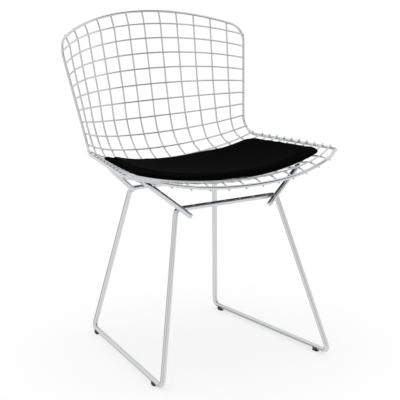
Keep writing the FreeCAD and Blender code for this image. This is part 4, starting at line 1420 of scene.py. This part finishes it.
class MakeStage(bpy.types.Operator):
    """Make the floor, the light and the camera"""

    bl_idname = "chair.make_stage"
    bl_label = "Stage"

    def execute(self, context):
        settings = context.scene.chair_stage
        scene = context.scene
        scene.view_settings.view_transform = "Standard"
        self.add_floor(scene)
        self.add_world(scene, settings)
        self.add_lamps(scene, settings)
        self.add_camera(scene, settings)
        return {"FINISHED"}

    def seen_directly(self, material):
        """One on rays that come from the eye, or by way of metal or glass, and zero on others."""
        path = add_node(material, "ShaderNodeLightPath")
        first = add_node(
            material,
            "ShaderNodeMath",
            {"operation": "MAXIMUM"},
            [(0, path.outputs["Is Camera Ray"]), (1, path.outputs["Is Glossy Ray"])],
        )
        return add_node(
            material,
            "ShaderNodeMath",
            {"operation": "MAXIMUM"},
            [(0, first.outputs[0]), (1, path.outputs["Is Transmission Ray"])],
        ).outputs[0]

    def add_floor(self, scene):
        """A wide pale floor that is white where no shadow falls."""
        reach = 30000.0
        corners = [[-reach, -reach, 0], [reach, -reach, 0], [reach, reach, 0], [-reach, reach, 0]]
        floor = new_object("floor", corners, [[0, 1, 2, 3]], smooth=False)
        floor.visible_glossy = False
        material = new_material("pale_floor")
        seen = self.seen_directly(material)
        # The glow makes up what the lit share lacks of white, so shadows on it are pale.
        lit = add_node(material, "ShaderNodeBsdfDiffuse", {"Color": srgb("C4C4C4")})
        glow = add_node(material, "ShaderNodeEmission", {"Strength": 0.53})
        both = add_node(
            material,
            "ShaderNodeAddShader",
            None,
            [(0, lit.outputs["BSDF"]), (1, glow.outputs["Emission"])],
        )
        plain = add_node(material, "ShaderNodeBsdfDiffuse", {"Color": srgb("E8E8E8")})
        mix = add_node(
            material,
            "ShaderNodeMixShader",
            None,
            [(0, seen), (1, plain.outputs["BSDF"]), (2, both.outputs["Shader"])],
        )
        add_node(material, "ShaderNodeOutputMaterial", None, [("Surface", mix.outputs["Shader"])])
        floor.data.materials.append(material)

    def add_world(self, scene, settings):
        """A white room. Polished steel also shows the openings between its screens."""
        world = bpy.data.worlds.new("white_room")
        world.use_nodes = True
        world.node_tree.nodes.clear()
        looking = add_node(world, "ShaderNodeTexCoord").outputs["Generated"]
        path = add_node(world, "ShaderNodeLightPath")
        seen = self.seen_directly(world)
        shade = None
        for azimuth, elevation, inner, outer, depth in OPENINGS:
            towards = direction(azimuth, elevation)
            facing = add_node(
                world,
                "ShaderNodeVectorMath",
                {"operation": "DOT_PRODUCT"},
                [(0, looking)],
            )
            facing.inputs[1].default_value = towards
            darker = add_node(
                world,
                "ShaderNodeMapRange",
                {
                    "interpolation_type": "SMOOTHSTEP",
                    "From Min": math.cos(math.radians(outer)),
                    "From Max": math.cos(math.radians(inner)),
                    "To Min": 1.0,
                    "To Max": 1.0 - depth,
                },
                [("Value", facing.outputs["Value"])],
            ).outputs["Result"]
            if shade is None:
                shade = darker
            else:
                shade = add_node(
                    world,
                    "ShaderNodeMath",
                    {"operation": "MULTIPLY"},
                    [(0, shade), (1, darker)],
                ).outputs[0]
        mirrored = add_node(
            world,
            "ShaderNodeMix",
            {"data_type": "FLOAT", "A": 1.0},
            [("Factor", path.outputs["Is Glossy Ray"]), ("B", shade)],
        )
        strength = add_node(
            world,
            "ShaderNodeMix",
            {"data_type": "FLOAT", "A": settings.fill},
            [("Factor", seen), ("B", mirrored.outputs["Result"])],
        )
        back = add_node(
            world,
            "ShaderNodeBackground",
            {"Color": (1, 1, 1, 1)},
            [("Strength", strength.outputs["Result"])],
        )
        add_node(world, "ShaderNodeOutputWorld", None, [("Surface", back.outputs["Background"])])
        scene.world = world

    def add_lamps(self, scene, settings):
        """A wide, even light from overhead, as from a lit ceiling."""
        lamp = bpy.data.lights.new("overhead_light", "SUN")
        lamp.angle = math.radians(110)
        lamp.energy = settings.overhead
        made = bpy.data.objects.new("overhead_light", lamp)
        made.location = (0, 0, 3)
        made.visible_glossy = False
        scene.collection.objects.link(made)

    def add_camera(self, scene, settings):
        """The camera looks from the front left, a little above the seat."""
        camera = bpy.data.cameras.new("camera")
        camera.lens = settings.lens
        camera.sensor_width = 36.0
        camera.clip_start = 0.1
        camera.clip_end = 200.0
        made = bpy.data.objects.new("camera", camera)
        back = direction(-30.27, 14.79)
        right = Vector((0, 0, 1)).cross(back).normalized()
        up = back.cross(right)
        turn = Matrix((right, up, back)).transposed().to_4x4()
        made.matrix_world = Matrix.Translation((-1.7015, -2.9534, 1.2478)) @ turn
        scene.collection.objects.link(made)
        scene.camera = made


class ChairPanel(bpy.types.Panel):
    """Lists the chair's pieces and their settings"""

    bl_idname = "VIEW3D_PT_wire_mesh_chair"
    bl_label = "Wire Mesh Chair"
    bl_space_type = "VIEW_3D"
    bl_region_type = "UI"
    bl_category = "Chair"

    def draw(self, context):
        for group, names in GROUPS.items():
            box = self.layout.box()
            for name in names:
                box.prop(getattr(context.scene, group), name)
        for maker in MAKERS:
            self.layout.operator(maker.bl_idname)


GROUPS = {
    "chair_wires": ("mesh_wire", "back_rim", "seat_rim", "base_rod"),
    "chair_pad": ("thickness", "crown", "inset", "swell", "seam", "pressure"),
    "chair_finish": ("chrome", "fabric", "plastic"),
    "chair_stage": ("lens", "overhead", "fill"),
}
GROUP_TYPES = {
    "chair_wires": ChairWires,
    "chair_pad": ChairPad,
    "chair_finish": ChairFinish,
    "chair_stage": ChairStage,
}
MAKERS = (
    MakeRims,
    MakeCrossWires,
    MakeLengthwiseWires,
    MakeWelds,
    MakeBaseRods,
    MakeSupportRods,
    MakeGlides,
    MakeSeatPad,
    MakeStage,
)


def register():
    for kind in (*GROUP_TYPES.values(), *MAKERS, ChairPanel):
        bpy.utils.register_class(kind)
    for name, kind in GROUP_TYPES.items():
        setattr(bpy.types.Scene, name, bpy.props.PointerProperty(type=kind))


def unregister():
    for name in GROUP_TYPES:
        delattr(bpy.types.Scene, name)
    for kind in (ChairPanel, *reversed(MAKERS), *GROUP_TYPES.values()):
        bpy.utils.unregister_class(kind)


def main():
    register()
    bpy.ops.chair.make_rims()
    bpy.ops.chair.make_cross_wires()
    bpy.ops.chair.make_lengthwise_wires()
    bpy.ops.chair.make_welds()
    bpy.ops.chair.make_base_rods()
    bpy.ops.chair.make_support_rods()
    bpy.ops.chair.make_glides()
    bpy.ops.chair.make_seat_pad()
    bpy.ops.chair.make_stage()


if __name__ == "__main__":
    main()
